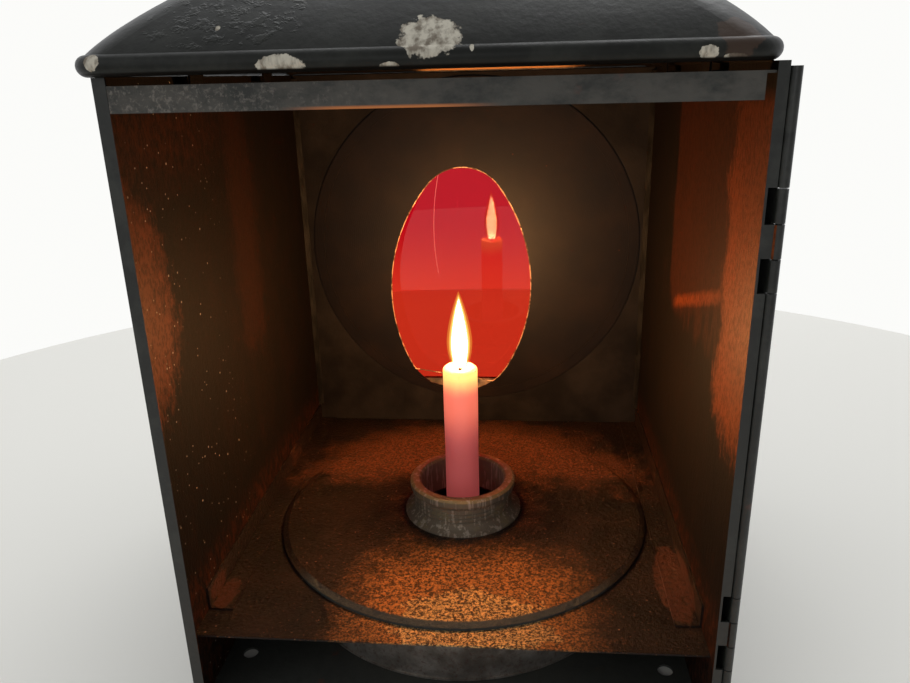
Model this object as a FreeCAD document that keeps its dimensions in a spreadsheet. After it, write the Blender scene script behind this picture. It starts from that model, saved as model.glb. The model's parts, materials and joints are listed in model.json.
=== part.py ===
"""Candle-lit darkroom lantern of japanned tinplate.

A square sheet-metal box with an oil font let into its floor, a domed roof with a chimney, a
full-height door on the near side and a ruby glass behind an egg-shaped opening in the far wall.

Frame: +Z up, +Y towards the ruby glass, origin at the bottom centre of the bounding box.
The door is drawn folded right back along the outside of the right wall.
"""
import FreeCAD, Part
import math
import os
import Sketcher

DIMENSIONS = [
    # tinplate box
    ("sheet", 0.6, "thickness of the tinplate"),
    ("box_half", 77.5, "half the inside width of the box"),
    ("front_y", -85.75, "front edge of the side walls"),
    ("far_y", 76.25, "inside face of the window wall"),
    ("floor_front_y", -81.75, "front edge of the lamp floor"),
    ("floor_z", 26.4, "top of the lamp floor"),
    ("wall_top_z", 187.4, "top edge of the door, and the ledge for the roof brackets"),
    ("body_top_z", 188.55, "top edge of the three fixed walls, just under the roof's rolled edge"),
    ("hem_width", 3.3, "return folded in along the front edge of the left wall"),
    ("seat_width", 2.0, "flange folded out along the front edge of the right wall"),
    ("base_sheet", 0.8, "thickness of the base plate"),
    ("base_hole_x", 70.0, "screw holes in the base, from the middle"),
    ("base_hole_front_y", -59.75, "front pair of screw holes"),
    ("base_hole_rear_y", 54.25, "rear pair of screw holes"),
    ("base_hole_radius", 2.5, "screw holes in the base"),
    ("solder_leg", 2.0, "leg of the solder fillets in the far corners"),
    ("angle_leg", 8.0, "legs of the floor angles"),
    ("angle_front_y", -69.75, "front end of the floor angles"),
    # header over the door opening
    ("header_low_z", 180.4, "bottom of the header"),
    ("header_top_z", 186.6, "top of the header"),
    ("header_right_x", 75.3, "right end of the header face"),
    ("header_hem", 2.4, "height of the doubled hem"),
    ("header_flange", 6.0, "depth of the header's top flange"),
    ("header_back", 0.1, "header set back from the front edges"),
    # round disc and egg-shaped opening
    ("disc_x", 0.5, "centre of the round disc"),
    ("disc_z", 113.0, "centre of the round disc"),
    ("disc_radius", 73.8, "outside of the disc's lap"),
    ("disc_seat", 70.0, "disc inside the wall's hole"),
    ("disc_gap", 0.2, "clearance in the wall's hole"),
    ("egg_x", -7.2, "middle of the egg-shaped opening"),
    ("egg_tilt", -2.6, "lean of the opening, degrees"),
    ("egg_big_z", 68.1, "centre of the opening's lower arc"),
    ("egg_small_z", 128.9, "centre of the opening's upper arc"),
    ("egg_big", 26.0, "radius of the lower arc"),
    ("egg_small", 20.0, "radius of the upper arc"),
    ("egg_side", 78.0, "radius of the side arcs"),
    # ruby glass, 4 x 5 inch, in its rails
    ("glass_x", -7.5, "middle of the ruby glass"),
    ("glass_half", 51.0, "half the width of the glass"),
    ("glass_tall", 127.0, "height of the glass"),
    ("glass_thick", 2.0, "thickness of the glass"),
    ("glass_y", 86.75, "inside face of the glass"),
    ("glass_low_z", 38.9, "bottom edge of the glass"),
    ("rail_side_gap", 0.5, "glass to rail, sideways"),
    ("rail_face_gap", 0.35, "glass to rail lips"),
    ("rail_lip", 5.6, "width of the rail lips"),
    ("rail_foot", 7.0, "width of the rail feet"),
    ("rail_top_z", 164.4, "top of the side rails"),
    ("hood_z", 158.4, "underside of the top light strip"),
    ("hood_lip", 6.0, "lip of the top light strip"),
    ("pull_half", 15.0, "half the width of the glass pull"),
    ("pull_drop", 7.0, "grip of the pull on the glass"),
    ("pull_tab", 9.0, "height of the pull's tab"),
    ("pull_sheet", 0.5, "thickness of the pull"),
    # oil font in the floor
    ("font_y", -6.55, "axis of the font, collar and candle"),
    ("font_radius", 62.0, "outside of the font drum"),
    ("font_hole", 62.8, "hole in the lamp floor"),
    ("font_low_z", 1.0, "underside of the font"),
    ("font_flange", 69.0, "radius of the font's top"),
    ("font_rise", 2.0, "font top above the lamp floor"),
    ("font_roll", 2.4, "width of the turned-down edge"),
    ("font_lap", 0.4, "font bottom beyond the drum"),
    ("collar_bore", 15.9, "bore of the burner collar"),
    ("collar_radius", 20.0, "outside of the burner collar"),
    ("collar_rise", 15.5, "collar rim above the lamp floor"),
    ("collar_foot", 2.2, "collar's foot beyond its outside"),
    ("collar_waist", 1.2, "collar's waist inside its outside"),
    ("thread_deep", 0.6, "depth of the collar's thread grooves"),
    ("thread_pitch", 1.7, "one thread groove to the next"),
    # candle, half inch
    ("candle_radius", 6.35, "candle"),
    ("candle_top_z", 87.1, "shoulder of the candle"),
    ("candle_cup", 1.6, "depth of the melted cup"),
    ("candle_lip", 0.8, "rounded shoulder of the candle"),
    ("wick_foot", 3.0, "wick in the wax, below the cup"),
    ("wick_gap", 0.05, "clearance round the wick"),
    ("wick_radius", 0.7, "wick"),
    ("wick_top_z", 92.6, "tip of the wick"),
    ("wax_radius", 13.0, "set wax around the candle's foot"),
    ("wax_rise", 4.0, "height of the set wax"),
    ("wax_gap", 0.02, "clearance between candle and set wax"),
    # roof
    ("roof_x", -1.8, "middle of the roof"),
    ("roof_y", -4.45, "middle of the roof"),
    ("roof_half_x", 81.1, "half the width of the roof"),
    ("roof_half_y", 85.3, "half the depth of the roof"),
    ("roof_sheet", 0.8, "thickness of the roof"),
    ("rim_radius", 2.5, "rolled edge of the roof"),
    ("rim_bore", 1.5, "inside of the rolled edge"),
    ("rim_wire", 1.4, "wire in the rolled edge"),
    ("rim_z", 191.1, "middle of the rolled edge"),
    ("rim_corner", 6.5, "corner radius of the rolled edge's middle"),
    ("neck_half", 31.0, "half the opening at the top of the roof"),
    ("neck_corner", 30.4, "corner radius at the top of the roof"),
    ("bracket_half", 5.0, "half the width of a roof bracket"),
    ("bracket_reach", 33.0, "roof brackets, from the roof's middle"),
    ("bracket_foot", 6.0, "roof brackets on the side walls"),
    ("bracket_jog", 4.4, "roof brackets step in past the rolled edge"),
    ("bracket_left_z", 200.2, "top of the left brackets, under the roof"),
    ("bracket_right_z", 196.7, "top of the right brackets, under the roof"),
    # chimney and its cap
    ("chimney_radius", 30.0, "outside of the chimney tube"),
    ("chimney_low_z", 212.0, "lower end of the chimney tube"),
    ("chimney_top_z", 246.0, "upper end of the chimney tube"),
    ("chimney_seat_z", 218.8, "top of the roof, where the chimney collar sits"),
    ("chimney_collar_high", 3.8, "height of the chimney collar"),
    ("chimney_collar_wide", 5.0, "width of the chimney collar's foot"),
    ("baffle_radius", 24.0, "light baffle in the chimney"),
    ("baffle_z", 229.0, "edge of the light baffle"),
    ("baffle_rise", 7.0, "height of the light baffle's cone"),
    ("baffle_arm", 2.5, "half the width of the baffle's arms"),
    ("baffle_lap", 1.0, "baffle's arms under its cone"),
    ("baffle_gap", 0.1, "baffle's arms to the tube"),
    ("cap_radius", 41.0, "edge of the chimney cap"),
    ("cap_skirt", 37.6, "inside of the cap's skirt"),
    ("cap_low_z", 243.0, "lower edge of the cap's skirt"),
    ("cap_bead", 1.2, "thickness of the cap's edge"),
    ("cap_edge_z", 250.0, "edge of the cap's cone"),
    ("cap_rise", 13.0, "height of the cap's cone"),
    ("leg_half", 4.0, "half the width of a cap leg"),
    ("leg_turn", 30.0, "first cap leg, degrees from +X"),
    ("leg_foot", 7.8, "cap legs on the chimney tube"),
    ("leg_gap", 0.25, "cap legs to the skirt"),
    ("leg_step", 1.2, "cap legs step out below the skirt"),
    ("leg_tip", 2.0, "cap legs end below the cap's edge"),
    # carrying handle
    ("pivot_z", 233.0, "axis of the carrying handle"),
    ("ear_gap", 4.0, "ear plate stands off the chimney"),
    ("ear_sheet", 0.9, "thickness of the ears"),
    ("ear_half", 5.0, "half the width of an ear, and its height above the pivot"),
    ("ear_drop", 10.0, "foot of an ear below the pivot"),
    ("ear_jog", 5.4, "step of an ear below the pivot"),
    ("ear_rivet", 1.4, "radius of the ear rivets"),
    ("ear_rivet_high", 1.1, "height of the ear rivets"),
    ("ear_rivet_drop", 8.2, "ear rivets below the pivot"),
    ("ear_rivet_side", 2.6, "ear rivets, from the middle"),
    ("handle_wire", 1.5, "radius of the handle wire"),
    ("handle_half", 46.0, "handle arms, from the middle"),
    ("handle_reach", 62.0, "pivot to the grip"),
    ("handle_bend", 9.0, "bends of the handle wire"),
    ("handle_end", 0.8, "handle wire ends off the chimney"),
    ("handle_head", 1.4, "thickness of the flattened wire ends"),
    ("handle_gap", 0.1, "clearance round the handle wire"),
    ("handle_droop", -10.5, "rest angle of the handle, degrees from level"),
    ("grip_radius", 7.5, "wooden grip"),
    ("grip_half", 27.0, "half the length of the grip"),
    # door and its hinges
    ("door_low_z", 0.6, "bottom of the door"),
    ("door_flange", 3.7, "depth of the flange on the door's free edge"),
    ("door_lap", 0.3, "that flange outside the left wall, when shut"),
    ("hinge_x", 81.6, "hinge axis"),
    ("hinge_y", -85.2, "hinge axis"),
    ("knuckle", 1.3, "outside radius of the rolled edge and of the knuckles"),
    ("pin_radius", 0.75, "hinge pins"),
    ("pin_gap", 0.05, "running clearance on the pins"),
    ("hinge_long", 24.4, "length of a hinge"),
    ("knuckle_long", 7.9, "length of a door knuckle"),
    ("knuckle_gap", 0.3, "end play between knuckles"),
    ("hinge_low_z", 25.4, "bottom of the lower hinge"),
    ("hinge_high_z", 136.6, "bottom of the upper hinge"),
    ("hinge_clear", 1.65, "sheet cut back from the hinge axis"),
    # hook that holds the door shut
    ("latch_y", -67.75, "pivot of the latch hook"),
    ("latch_z", 74.4, "pivot of the latch hook"),
    ("latch_reach", 17.45, "pivot to the stud"),
    ("hook_sheet", 1.0, "thickness of the hook"),
    ("hook_half", 3.2, "half the width of the hook"),
    ("hook_standoff", 1.2, "hook stands off the left wall"),
    ("hook_tip", 4.6, "hook beyond the stud"),
    ("hook_play", 0.3, "play of the stud in the hook"),
    ("tab_reach", 3.7, "finger tab stands out from the hook"),
    ("stud_neck", 1.2, "radius of the stud's neck and of the pivot"),
    ("stud_head", 2.4, "radius of the rivet heads"),
    ("stud_dome", 0.9, "height of the rivet heads"),
    ("stud_play", 0.1, "play of the hook on its pivot"),
]

ROOF_STEPS = [
    # inset from the roof's edge, height, corner radius
    (0.5, 191.7, 8.0),
    (5.0, 197.2, 9.5),
    (12.5, 204.0, 12.0),
    (22.5, 211.3, 16.0),
    (35.0, 216.6, 22.0),
    (50.1, 218.8, 30.4),
]

doc = FreeCAD.newDocument("darkroom_lantern")
dims = doc.addObject("Spreadsheet::Sheet", "dims")
row = 0
for alias, number, meaning in DIMENSIONS:
    row += 1
    dims.set(f"A{row}", meaning)
    dims.set(f"B{row}", str(number))
    dims.setAlias(f"B{row}", alias)
for step, (inset, height, corner) in enumerate(ROOF_STEPS, start=1):
    for alias, number in ((f"inset_{step}", inset), (f"height_{step}", height), (f"corner_{step}", corner)):
        row += 1
        dims.set(f"A{row}", f"roof section {step}")
        dims.set(f"B{row}", str(number))
        dims.setAlias(f"B{row}", alias)
doc.recompute()

SUBPARTS = []


def value(formula):
    """The number that a formula over the sheet's cells gives."""
    return float(dims.evalExpression(formula))


def bound(formula):
    """The same formula as other objects write it, with the sheet's name before each alias."""
    words = []
    word = ""
    for letter in formula + " ":
        if letter.isalnum() or letter in "_.":
            word += letter
            continue
        if word and word[0].isalpha() and word not in ("sin", "cos", "tan", "sqrt", "deg"):
            word = "dims." + word
        words.append(word + letter)
        word = ""
    return "".join(words).strip()


def new_body(label):
    body = doc.addObject("PartDesign::Body", label)
    body.Label = label
    SUBPARTS.append(body)
    return body


def place(body, x="0", y="0", z="0"):
    """Moves a body by formulas, so its own sketches stay about its own axis."""
    for axis, formula in (("x", x), ("y", y), ("z", z)):
        body.setExpression(f"Placement.Base.{axis}", bound(formula))


def new_sketch(body, name, plane, start="0"):
    """A sketch on one of the body's own planes, pushed out to `start` along +X, +Y or +Z."""
    sketch = body.newObject("Sketcher::SketchObject", name)
    for feature in body.Origin.OriginFeatures:
        if feature.Role == plane + "_Plane":
            sketch.AttachmentSupport = [(feature, "")]
    sketch.MapMode = "FlatFace"
    sign = "-" if plane == "XZ" else ""
    sketch.setExpression("AttachmentOffset.Base.z", f"{sign}({bound(start)})")
    return sketch


def pin_point(sketch, geometry, vertex, across, up):
    """Ties one sketch point to a pair of formulas."""
    for kind, formula in (("DistanceX", across), ("DistanceY", up)):
        number = value(formula)
        index = sketch.addConstraint(Sketcher.Constraint(kind, -1, 1, geometry, vertex, number))
        sketch.setExpression(f"Constraints[{index}]", bound(formula))


def draw_polygon(sketch, points):
    """A closed outline of straight runs through points given as formulas."""
    corners = [FreeCAD.Vector(value(across), value(up), 0) for across, up in points]
    lines = []
    for start, end in zip(corners, corners[1:] + corners[:1]):
        lines.append(sketch.addGeometry(Part.LineSegment(start, end), False))
    for line, following in zip(lines, lines[1:] + lines[:1]):
        sketch.addConstraint(Sketcher.Constraint("Coincident", line, 2, following, 1))
    for line, (across, up) in zip(lines, points):
        pin_point(sketch, line, 1, across, up)


def draw_circle(sketch, across, up, radius):
    centre = FreeCAD.Vector(value(across), value(up), 0)
    circle = Part.Circle(centre, FreeCAD.Vector(0, 0, 1), value(radius))
    geometry = sketch.addGeometry(circle, False)
    pin_point(sketch, geometry, 3, across, up)
    index = sketch.addConstraint(Sketcher.Constraint("Radius", geometry, value(radius)))
    sketch.setExpression(f"Constraints[{index}]", bound(radius))


def fix_radius(sketch, geometry, formula):
    index = sketch.addConstraint(Sketcher.Constraint("Radius", geometry, value(formula)))
    sketch.setExpression(f"Constraints[{index}]", bound(formula))


def draw_rounded_box(sketch, half_x, half_y, corner):
    """A rectangle about the sketch's origin, with equal round corners."""
    wide = value(half_x)
    deep = value(half_y)
    radius = value(corner)
    normal = FreeCAD.Vector(0, 0, 1)
    arcs = []
    for quarter, (side_x, side_y) in enumerate(((1, 1), (-1, 1), (-1, -1), (1, -1))):
        centre = FreeCAD.Vector(side_x * (wide - radius), side_y * (deep - radius), 0)
        circle = Part.Circle(centre, normal, radius)
        start = quarter * math.pi / 2
        arcs.append(sketch.addGeometry(Part.ArcOfCircle(circle, start, start + math.pi / 2), False))
        across = f"{side_x} * ({half_x} - ({corner}))"
        up = f"{side_y} * ({half_y} - ({corner}))"
        pin_point(sketch, arcs[-1], 3, across, up)
        fix_radius(sketch, arcs[-1], corner)
    lines = []
    for quarter in range(4):
        arc = sketch.Geometry[arcs[quarter]]
        following = sketch.Geometry[arcs[(quarter + 1) % 4]]
        lines.append(sketch.addGeometry(Part.LineSegment(arc.EndPoint, following.StartPoint), False))
    for quarter, line in enumerate(lines):
        sketch.addConstraint(Sketcher.Constraint("Tangent", arcs[quarter], 2, line, 1))
        sketch.addConstraint(Sketcher.Constraint("Tangent", line, 2, arcs[(quarter + 1) % 4], 1))


def pad(body, sketch, plane, length):
    feature = body.newObject("PartDesign::Pad", sketch.Name + "_pad")
    feature.Profile = sketch
    feature.Reversed = plane == "XZ"
    feature.setExpression("Length", bound(length))
    return feature


def pocket(body, sketch, plane, length):
    """A cut that runs towards +X, +Y or +Z from its sketch."""
    feature = body.newObject("PartDesign::Pocket", sketch.Name + "_cut")
    feature.Profile = sketch
    feature.Reversed = plane != "XZ"
    feature.setExpression("Length", bound(length))
    return feature


def bar(label, plane, points, start, length, circles=()):
    """A piece of one constant section, padded along the axis square to `plane`."""
    body = new_body(label)
    sketch = new_sketch(body, label + "_section", plane, start)
    draw_polygon(sketch, points)
    for across, up, radius in circles:
        draw_circle(sketch, across, up, radius)
    pad(body, sketch, plane, length)
    return body


def box(left, right, low, high):
    """Four corners of a rectangle, from formulas."""
    return [(left, low), (right, low), (right, high), (left, high)]


def turned(label, points):
    """A piece turned about its own Z axis; each point is a radius and a height."""
    body = new_body(label)
    sketch = new_sketch(body, label + "_profile", "XZ")
    draw_polygon(sketch, points)
    revolution = body.newObject("PartDesign::Revolution", label + "_turn")
    revolution.Profile = sketch
    revolution.ReferenceAxis = (sketch, ["V_Axis"])
    revolution.Angle = 360
    return body


def add_box(body, name, plane, points, start, length):
    sketch = new_sketch(body, name, plane, start)
    draw_polygon(sketch, points)
    return pad(body, sketch, plane, length)


def cut_box(body, name, plane, points, start, length):
    sketch = new_sketch(body, name, plane, start)
    draw_polygon(sketch, points)
    return pocket(body, sketch, plane, length)


def make_base_plate():
    holes = []
    for x in ("base_hole_x", "-base_hole_x"):
        for y in ("base_hole_front_y", "base_hole_rear_y"):
            holes.append((x, y, "base_hole_radius"))
    outline = box("-box_half", "box_half", "front_y + sheet", "far_y")
    bar("base_plate", "XY", outline, "0", "base_sheet", holes)


def make_left_wall():
    points = [
        ("-box_half - sheet", "front_y"),
        ("-box_half - sheet + hem_width", "front_y"),
        ("-box_half - sheet + hem_width", "front_y + sheet"),
        ("-box_half", "front_y + sheet"),
        ("-box_half", "far_y + sheet"),
        ("-box_half - sheet", "far_y + sheet"),
    ]
    bar("left_wall", "XY", points, "0", "body_top_z")


def knuckle_ring(body, name, low, length):
    """A rolled knuckle about the hinge axis."""
    sketch = new_sketch(body, name, "XY", low)
    draw_circle(sketch, "hinge_x", "hinge_y", "knuckle")
    pad(body, sketch, "XY", length)


def knuckle_bore(body, name, low, length):
    """The hole for the hinge pin."""
    sketch = new_sketch(body, name, "XY", low)
    draw_circle(sketch, "hinge_x", "hinge_y", "pin_radius + pin_gap")
    pocket(body, sketch, "XY", length)


def make_right_wall():
    """Its front edge is folded out into a flange that the door's rolled edge sits beside."""
    outer = "box_half + sheet"
    points = [
        ("box_half", "front_y"),
        (f"{outer} + seat_width", "front_y"),
        (f"{outer} + seat_width", "front_y + sheet"),
        (outer, "front_y + sheet"),
        (outer, "far_y + sheet"),
        ("box_half", "far_y + sheet"),
    ]
    body = bar("right_wall", "XY", points, "0", "body_top_z")
    for name, low in (("lower", "hinge_low_z"), ("upper", "hinge_high_z")):
        notch = box(outer, f"{outer} + 2 * seat_width", "front_y - sheet", "front_y + sheet")
        cut_box(body, name + "_notch", "XY", notch, f"{low} - knuckle_gap", "hinge_long + 2 * knuckle_gap")
        middle_low = f"{low} + knuckle_long + knuckle_gap"
        middle_long = "hinge_long - 2 * knuckle_long - 2 * knuckle_gap"
        tongue = box(f"{outer} - sheet / 2", "hinge_x", "front_y", "front_y + sheet")
        add_box(body, name + "_tongue", "XY", tongue, middle_low, middle_long)
        knuckle_ring(body, name + "_roll", middle_low, middle_long)
        knuckle_bore(body, name + "_bore", middle_low, middle_long)


def make_hinge_pins():
    body = new_body("hinge_pins")
    for name, low in (("lower", "hinge_low_z"), ("upper", "hinge_high_z")):
        sketch = new_sketch(body, name + "_pin", "XY", low)
        draw_circle(sketch, "hinge_x", "hinge_y", "pin_radius")
        pad(body, sketch, "XY", "hinge_long")


def make_window_wall():
    outline = box("-box_half", "box_half", "0", "body_top_z")
    hole = [("disc_x", "disc_z", "disc_seat + disc_gap")]
    bar("window_wall", "XZ", outline, "far_y", "sheet", hole)


def make_corner_solder():
    body = new_body("corner_solder")
    sketch = new_sketch(body, "solder_section", "XY", "floor_z + angle_leg")
    for side in ("-1", "1"):
        corner = f"{side} * box_half"
        inner = f"{side} * (box_half - solder_leg)"
        draw_polygon(sketch, [(corner, "far_y"), (inner, "far_y"), (corner, "far_y - solder_leg")])
    pad(body, sketch, "XY", "wall_top_z - floor_z - angle_leg")


def draw_egg(sketch):
    """A lower and an upper arc joined by two long side arcs, tangent all round.

    The sketch's origin is the middle of the disc, and the opening leans about its lower centre.
    """
    big = value("egg_big")
    small = value("egg_small")
    side = value("egg_side")
    span = value("egg_small_z - egg_big_z")
    to_big = side - big
    to_small = side - small
    up = (to_big ** 2 - to_small ** 2 + span ** 2) / (2 * span)
    out = math.sqrt(to_big ** 2 - up ** 2)
    normal = FreeCAD.Vector(0, 0, 1)
    lean = math.atan2(up, out)
    lean_small = math.atan2(span - up, out)
    low = FreeCAD.Vector(0, 0, 0)
    high = FreeCAD.Vector(0, span, 0)
    right = FreeCAD.Vector(-out, up, 0)
    left = FreeCAD.Vector(out, up, 0)
    arcs = [
        (low, big, math.pi + lean, 2 * math.pi - lean),
        (right, side, -lean, lean_small),
        (high, small, lean_small, math.pi - lean_small),
        (left, side, math.pi - lean_small, math.pi + lean),
    ]
    drawn = []
    for centre, radius, start, end in arcs:
        arc = Part.ArcOfCircle(Part.Circle(centre, normal, radius), start, end)
        drawn.append(sketch.addGeometry(arc, False))
    for arc, following in zip(drawn, drawn[1:] + drawn[:1]):
        sketch.addConstraint(Sketcher.Constraint("Tangent", arc, 2, following, 1))
    pin_point(sketch, drawn[0], 3, "0", "0")
    pin_point(sketch, drawn[2], 3, "0", "egg_small_z - egg_big_z")
    for arc, formula in zip(drawn, ("egg_big", "egg_side", "egg_small", "egg_side")):
        fix_radius(sketch, arc, formula)


def make_window_disc():
    body = new_body("window_disc")
    profile = new_sketch(body, "disc_profile", "XY")
    points = [
        ("0", "0"),
        ("disc_seat - sheet", "0"),
        ("disc_seat - sheet", "-sheet"),
        ("disc_radius", "-sheet"),
        ("disc_radius", "0"),
        ("disc_seat", "0"),
        ("disc_seat", "sheet"),
        ("0", "sheet"),
    ]
    draw_polygon(profile, points)
    revolution = body.newObject("PartDesign::Revolution", "disc_turn")
    revolution.Profile = profile
    revolution.ReferenceAxis = (profile, ["V_Axis"])
    revolution.Angle = 360
    egg = new_sketch(body, "egg_outline", "XZ", "-2 * sheet")
    egg.setExpression("AttachmentOffset.Base.x", bound("egg_x - disc_x"))
    egg.setExpression("AttachmentOffset.Base.y", bound("egg_big_z - disc_z"))
    egg.setExpression("AttachmentOffset.Rotation.Angle", bound("egg_tilt"))
    draw_egg(egg)
    pocket(body, egg, "XZ", "4 * sheet")
    place(body, "disc_x", "far_y", "disc_z")


def make_header_strip():
    face = "front_y + header_back"
    back = "front_y + header_back + sheet"
    points = [
        (face, "header_low_z"),
        (f"{back} + sheet", "header_low_z"),
        (f"{back} + sheet", "header_low_z + header_hem"),
        (back, "header_low_z + header_hem"),
        (back, "header_top_z - sheet"),
        ("front_y + header_flange", "header_top_z - sheet"),
        ("front_y + header_flange", "header_top_z"),
        (face, "header_top_z"),
    ]
    left = "-box_half - sheet + hem_width"
    body = bar("header_strip", "YZ", points, left, f"header_right_x - ({left})")
    right_tab = box("header_right_x - sheet", "box_half", back, "front_y + header_flange")
    add_box(body, "header_right_tab", "XY", right_tab, "header_top_z - sheet", "sheet")
    left_tab = box("-box_half", f"{left} + sheet", back, "front_y + header_flange")
    add_box(body, "header_left_tab", "XY", left_tab, "header_top_z - sheet", "sheet")


def make_floor_plate():
    outline = box("-box_half", "box_half", "floor_front_y", "far_y")
    hole = [("0", "font_y", "font_hole")]
    bar("floor_plate", "XY", outline, "floor_z - sheet", "sheet", hole)


def make_floor_angles():
    for label, side in (("floor_angle_left", "-1"), ("floor_angle_right", "1")):
        points = [
            (f"{side} * box_half", "floor_z"),
            (f"{side} * (box_half - angle_leg)", "floor_z"),
            (f"{side} * (box_half - angle_leg)", "floor_z + sheet"),
            (f"{side} * (box_half - sheet)", "floor_z + sheet"),
            (f"{side} * (box_half - sheet)", "floor_z + angle_leg"),
            (f"{side} * box_half", "floor_z + angle_leg"),
        ]
        bar(label, "XZ", points, "angle_front_y", "far_y - sheet - angle_front_y")


def rail_section(edge, inward):
    """Foot, web and two lips of a glass rail; `edge` is the web's face and `inward` its sense."""
    wall = "far_y + sheet"
    inner = "glass_y - rail_face_gap"
    outer = "glass_y + glass_thick + rail_face_gap"
    lip = f"{edge} + {inward} * rail_lip"
    foot = f"{edge} - {inward} * (sheet + rail_foot)"
    outside = f"{edge} - {inward} * sheet"
    return [
        (foot, wall),
        (edge, wall),
        (edge, f"{inner} - sheet"),
        (lip, f"{inner} - sheet"),
        (lip, inner),
        (edge, inner),
        (edge, outer),
        (lip, outer),
        (lip, f"{outer} + sheet"),
        (outside, f"{outer} + sheet"),
        (outside, f"{wall} + sheet"),
        (foot, f"{wall} + sheet"),
    ]


def make_glass_rails():
    low = "glass_low_z + rail_lip"
    for label, side in (("glass_rail_left", "-1"), ("glass_rail_right", "1")):
        edge = f"glass_x + {side} * (glass_half + rail_side_gap)"
        inward = "1" if side == "-1" else "(-1)"
        bar(label, "XY", rail_section(edge, inward), low, f"rail_top_z - ({low})")
    reach = "glass_half + rail_side_gap + sheet"
    upright = [(up, across) for across, up in rail_section("glass_low_z", "1")]
    bar("glass_rail_bottom", "YZ", upright, f"glass_x - ({reach})", f"2 * ({reach})")
    wall = "far_y + sheet"
    back = "glass_y - rail_face_gap - sheet"
    points = [
        (wall, "hood_z"),
        (f"{back} - sheet", "hood_z"),
        (f"{back} - sheet", "hood_z - hood_lip"),
        (back, "hood_z - hood_lip"),
        (back, "hood_z + sheet"),
        (f"{wall} + sheet", "hood_z + sheet"),
        (f"{wall} + sheet", "rail_top_z"),
        (wall, "rail_top_z"),
    ]
    reach = "glass_half + rail_side_gap"
    bar("glass_rail_top", "YZ", points, f"glass_x - ({reach})", f"2 * ({reach})")


def make_glass():
    outline = box("glass_x - glass_half", "glass_x + glass_half", "glass_y", "glass_y + glass_thick")
    bar("ruby_glass", "XY", outline, "glass_low_z", "glass_tall")
    top = "glass_low_z + glass_tall"
    near = "glass_y - pull_sheet"
    far = "glass_y + glass_thick + pull_sheet"
    points = [
        (near, f"{top} - pull_drop"),
        ("glass_y", f"{top} - pull_drop"),
        ("glass_y", top),
        ("glass_y + glass_thick", top),
        ("glass_y + glass_thick", f"{top} - pull_drop"),
        (far, f"{top} - pull_drop"),
        (far, f"{top} + sheet"),
        ("glass_y + sheet", f"{top} + sheet"),
        ("glass_y + sheet", f"{top} + pull_tab"),
        (near, f"{top} + pull_tab"),
    ]
    bar("glass_pull", "YZ", points, "glass_x - pull_half", "2 * pull_half")


def collar_profile():
    """Section of the burner collar: a flared foot, a waist with thread grooves and a round rim."""
    foot = "floor_z + font_rise"
    rim = "floor_z + collar_rise"
    waist = "collar_radius - collar_waist"
    outside = [
        ("collar_bore", foot),
        ("collar_radius + collar_foot", foot),
        ("collar_radius + collar_foot", f"{foot} + 0.7"),
        ("collar_radius + 0.4", f"{foot} + 1.8"),
        (waist, f"{foot} + 3.0"),
    ]
    for groove in range(3):
        low = f"{foot} + 3.4 + {groove} * thread_pitch"
        outside += [
            (waist, low),
            (f"{waist} - thread_deep", f"{low} + thread_pitch / 4"),
            (waist, f"{low} + thread_pitch / 2"),
        ]
    return outside + [
        (waist, f"{rim} - 4.4"),
        ("collar_radius - 0.3", f"{rim} - 3.4"),
        ("collar_radius", f"{rim} - 2.6"),
        ("collar_radius", f"{rim} - 0.8"),
        ("collar_radius - 0.9", rim),
        ("collar_bore + 0.7", rim),
        ("collar_bore", f"{rim} - 0.8"),
    ]


def make_font():
    bottom = "font_low_z + sheet"
    under_top = "floor_z + font_rise - sheet"
    font = [
        turned("font_bottom", [
            ("0", "font_low_z"),
            ("font_radius + font_lap", "font_low_z"),
            ("font_radius + font_lap", bottom),
            ("0", bottom),
        ]),
        turned("font_drum", [
            ("font_radius - sheet", bottom),
            ("font_radius", bottom),
            ("font_radius", under_top),
            ("font_radius - sheet", under_top),
        ]),
        turned("font_top", [
            ("collar_bore", under_top),
            ("font_flange - font_roll", under_top),
            ("font_flange - sheet", "floor_z + sheet"),
            ("font_flange - sheet", "floor_z"),
            ("font_flange", "floor_z"),
            ("font_flange", "floor_z + 1.5 * sheet"),
            ("font_flange - font_roll + 0.7 * sheet", "floor_z + font_rise"),
            ("collar_bore", "floor_z + font_rise"),
        ]),
        turned("burner_collar", collar_profile()),
    ]
    for piece in font:
        place(piece, "0", "font_y", "0")


def make_candle():
    foot = "font_low_z + sheet"
    cup = "candle_top_z - candle_cup"
    bore = "wick_radius + wick_gap"
    candle = turned("candle", [
        ("0", foot),
        ("candle_radius", foot),
        ("candle_radius", "candle_top_z - candle_lip"),
        ("candle_radius - candle_lip", "candle_top_z"),
        ("candle_radius - 2.75 * candle_lip", "candle_top_z - 0.6 * candle_lip"),
        ("candle_radius / 3", f"{cup} + 0.4 * candle_lip"),
        (bore, cup),
        (bore, f"{cup} - wick_foot"),
        ("0", f"{cup} - wick_foot"),
    ])
    wick = turned("candle_wick", [
        ("0", f"{cup} - wick_foot"),
        ("wick_radius", f"{cup} - wick_foot"),
        ("wick_radius", "wick_top_z - wick_radius"),
        ("wick_radius / 2", "wick_top_z"),
        ("0", "wick_top_z"),
    ])
    wax_inside = "candle_radius + wax_gap"
    wax = turned("wax_foot", [
        (wax_inside, foot),
        ("wax_radius", foot),
        ("0.95 * wax_radius", f"{foot} + 0.25 * wax_rise"),
        ("0.67 * wax_radius", f"{foot} + 0.55 * wax_rise"),
        (wax_inside, f"{foot} + wax_rise"),
    ])
    for piece in (candle, wick, wax):
        place(piece, "0", "font_y", "0")


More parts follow.
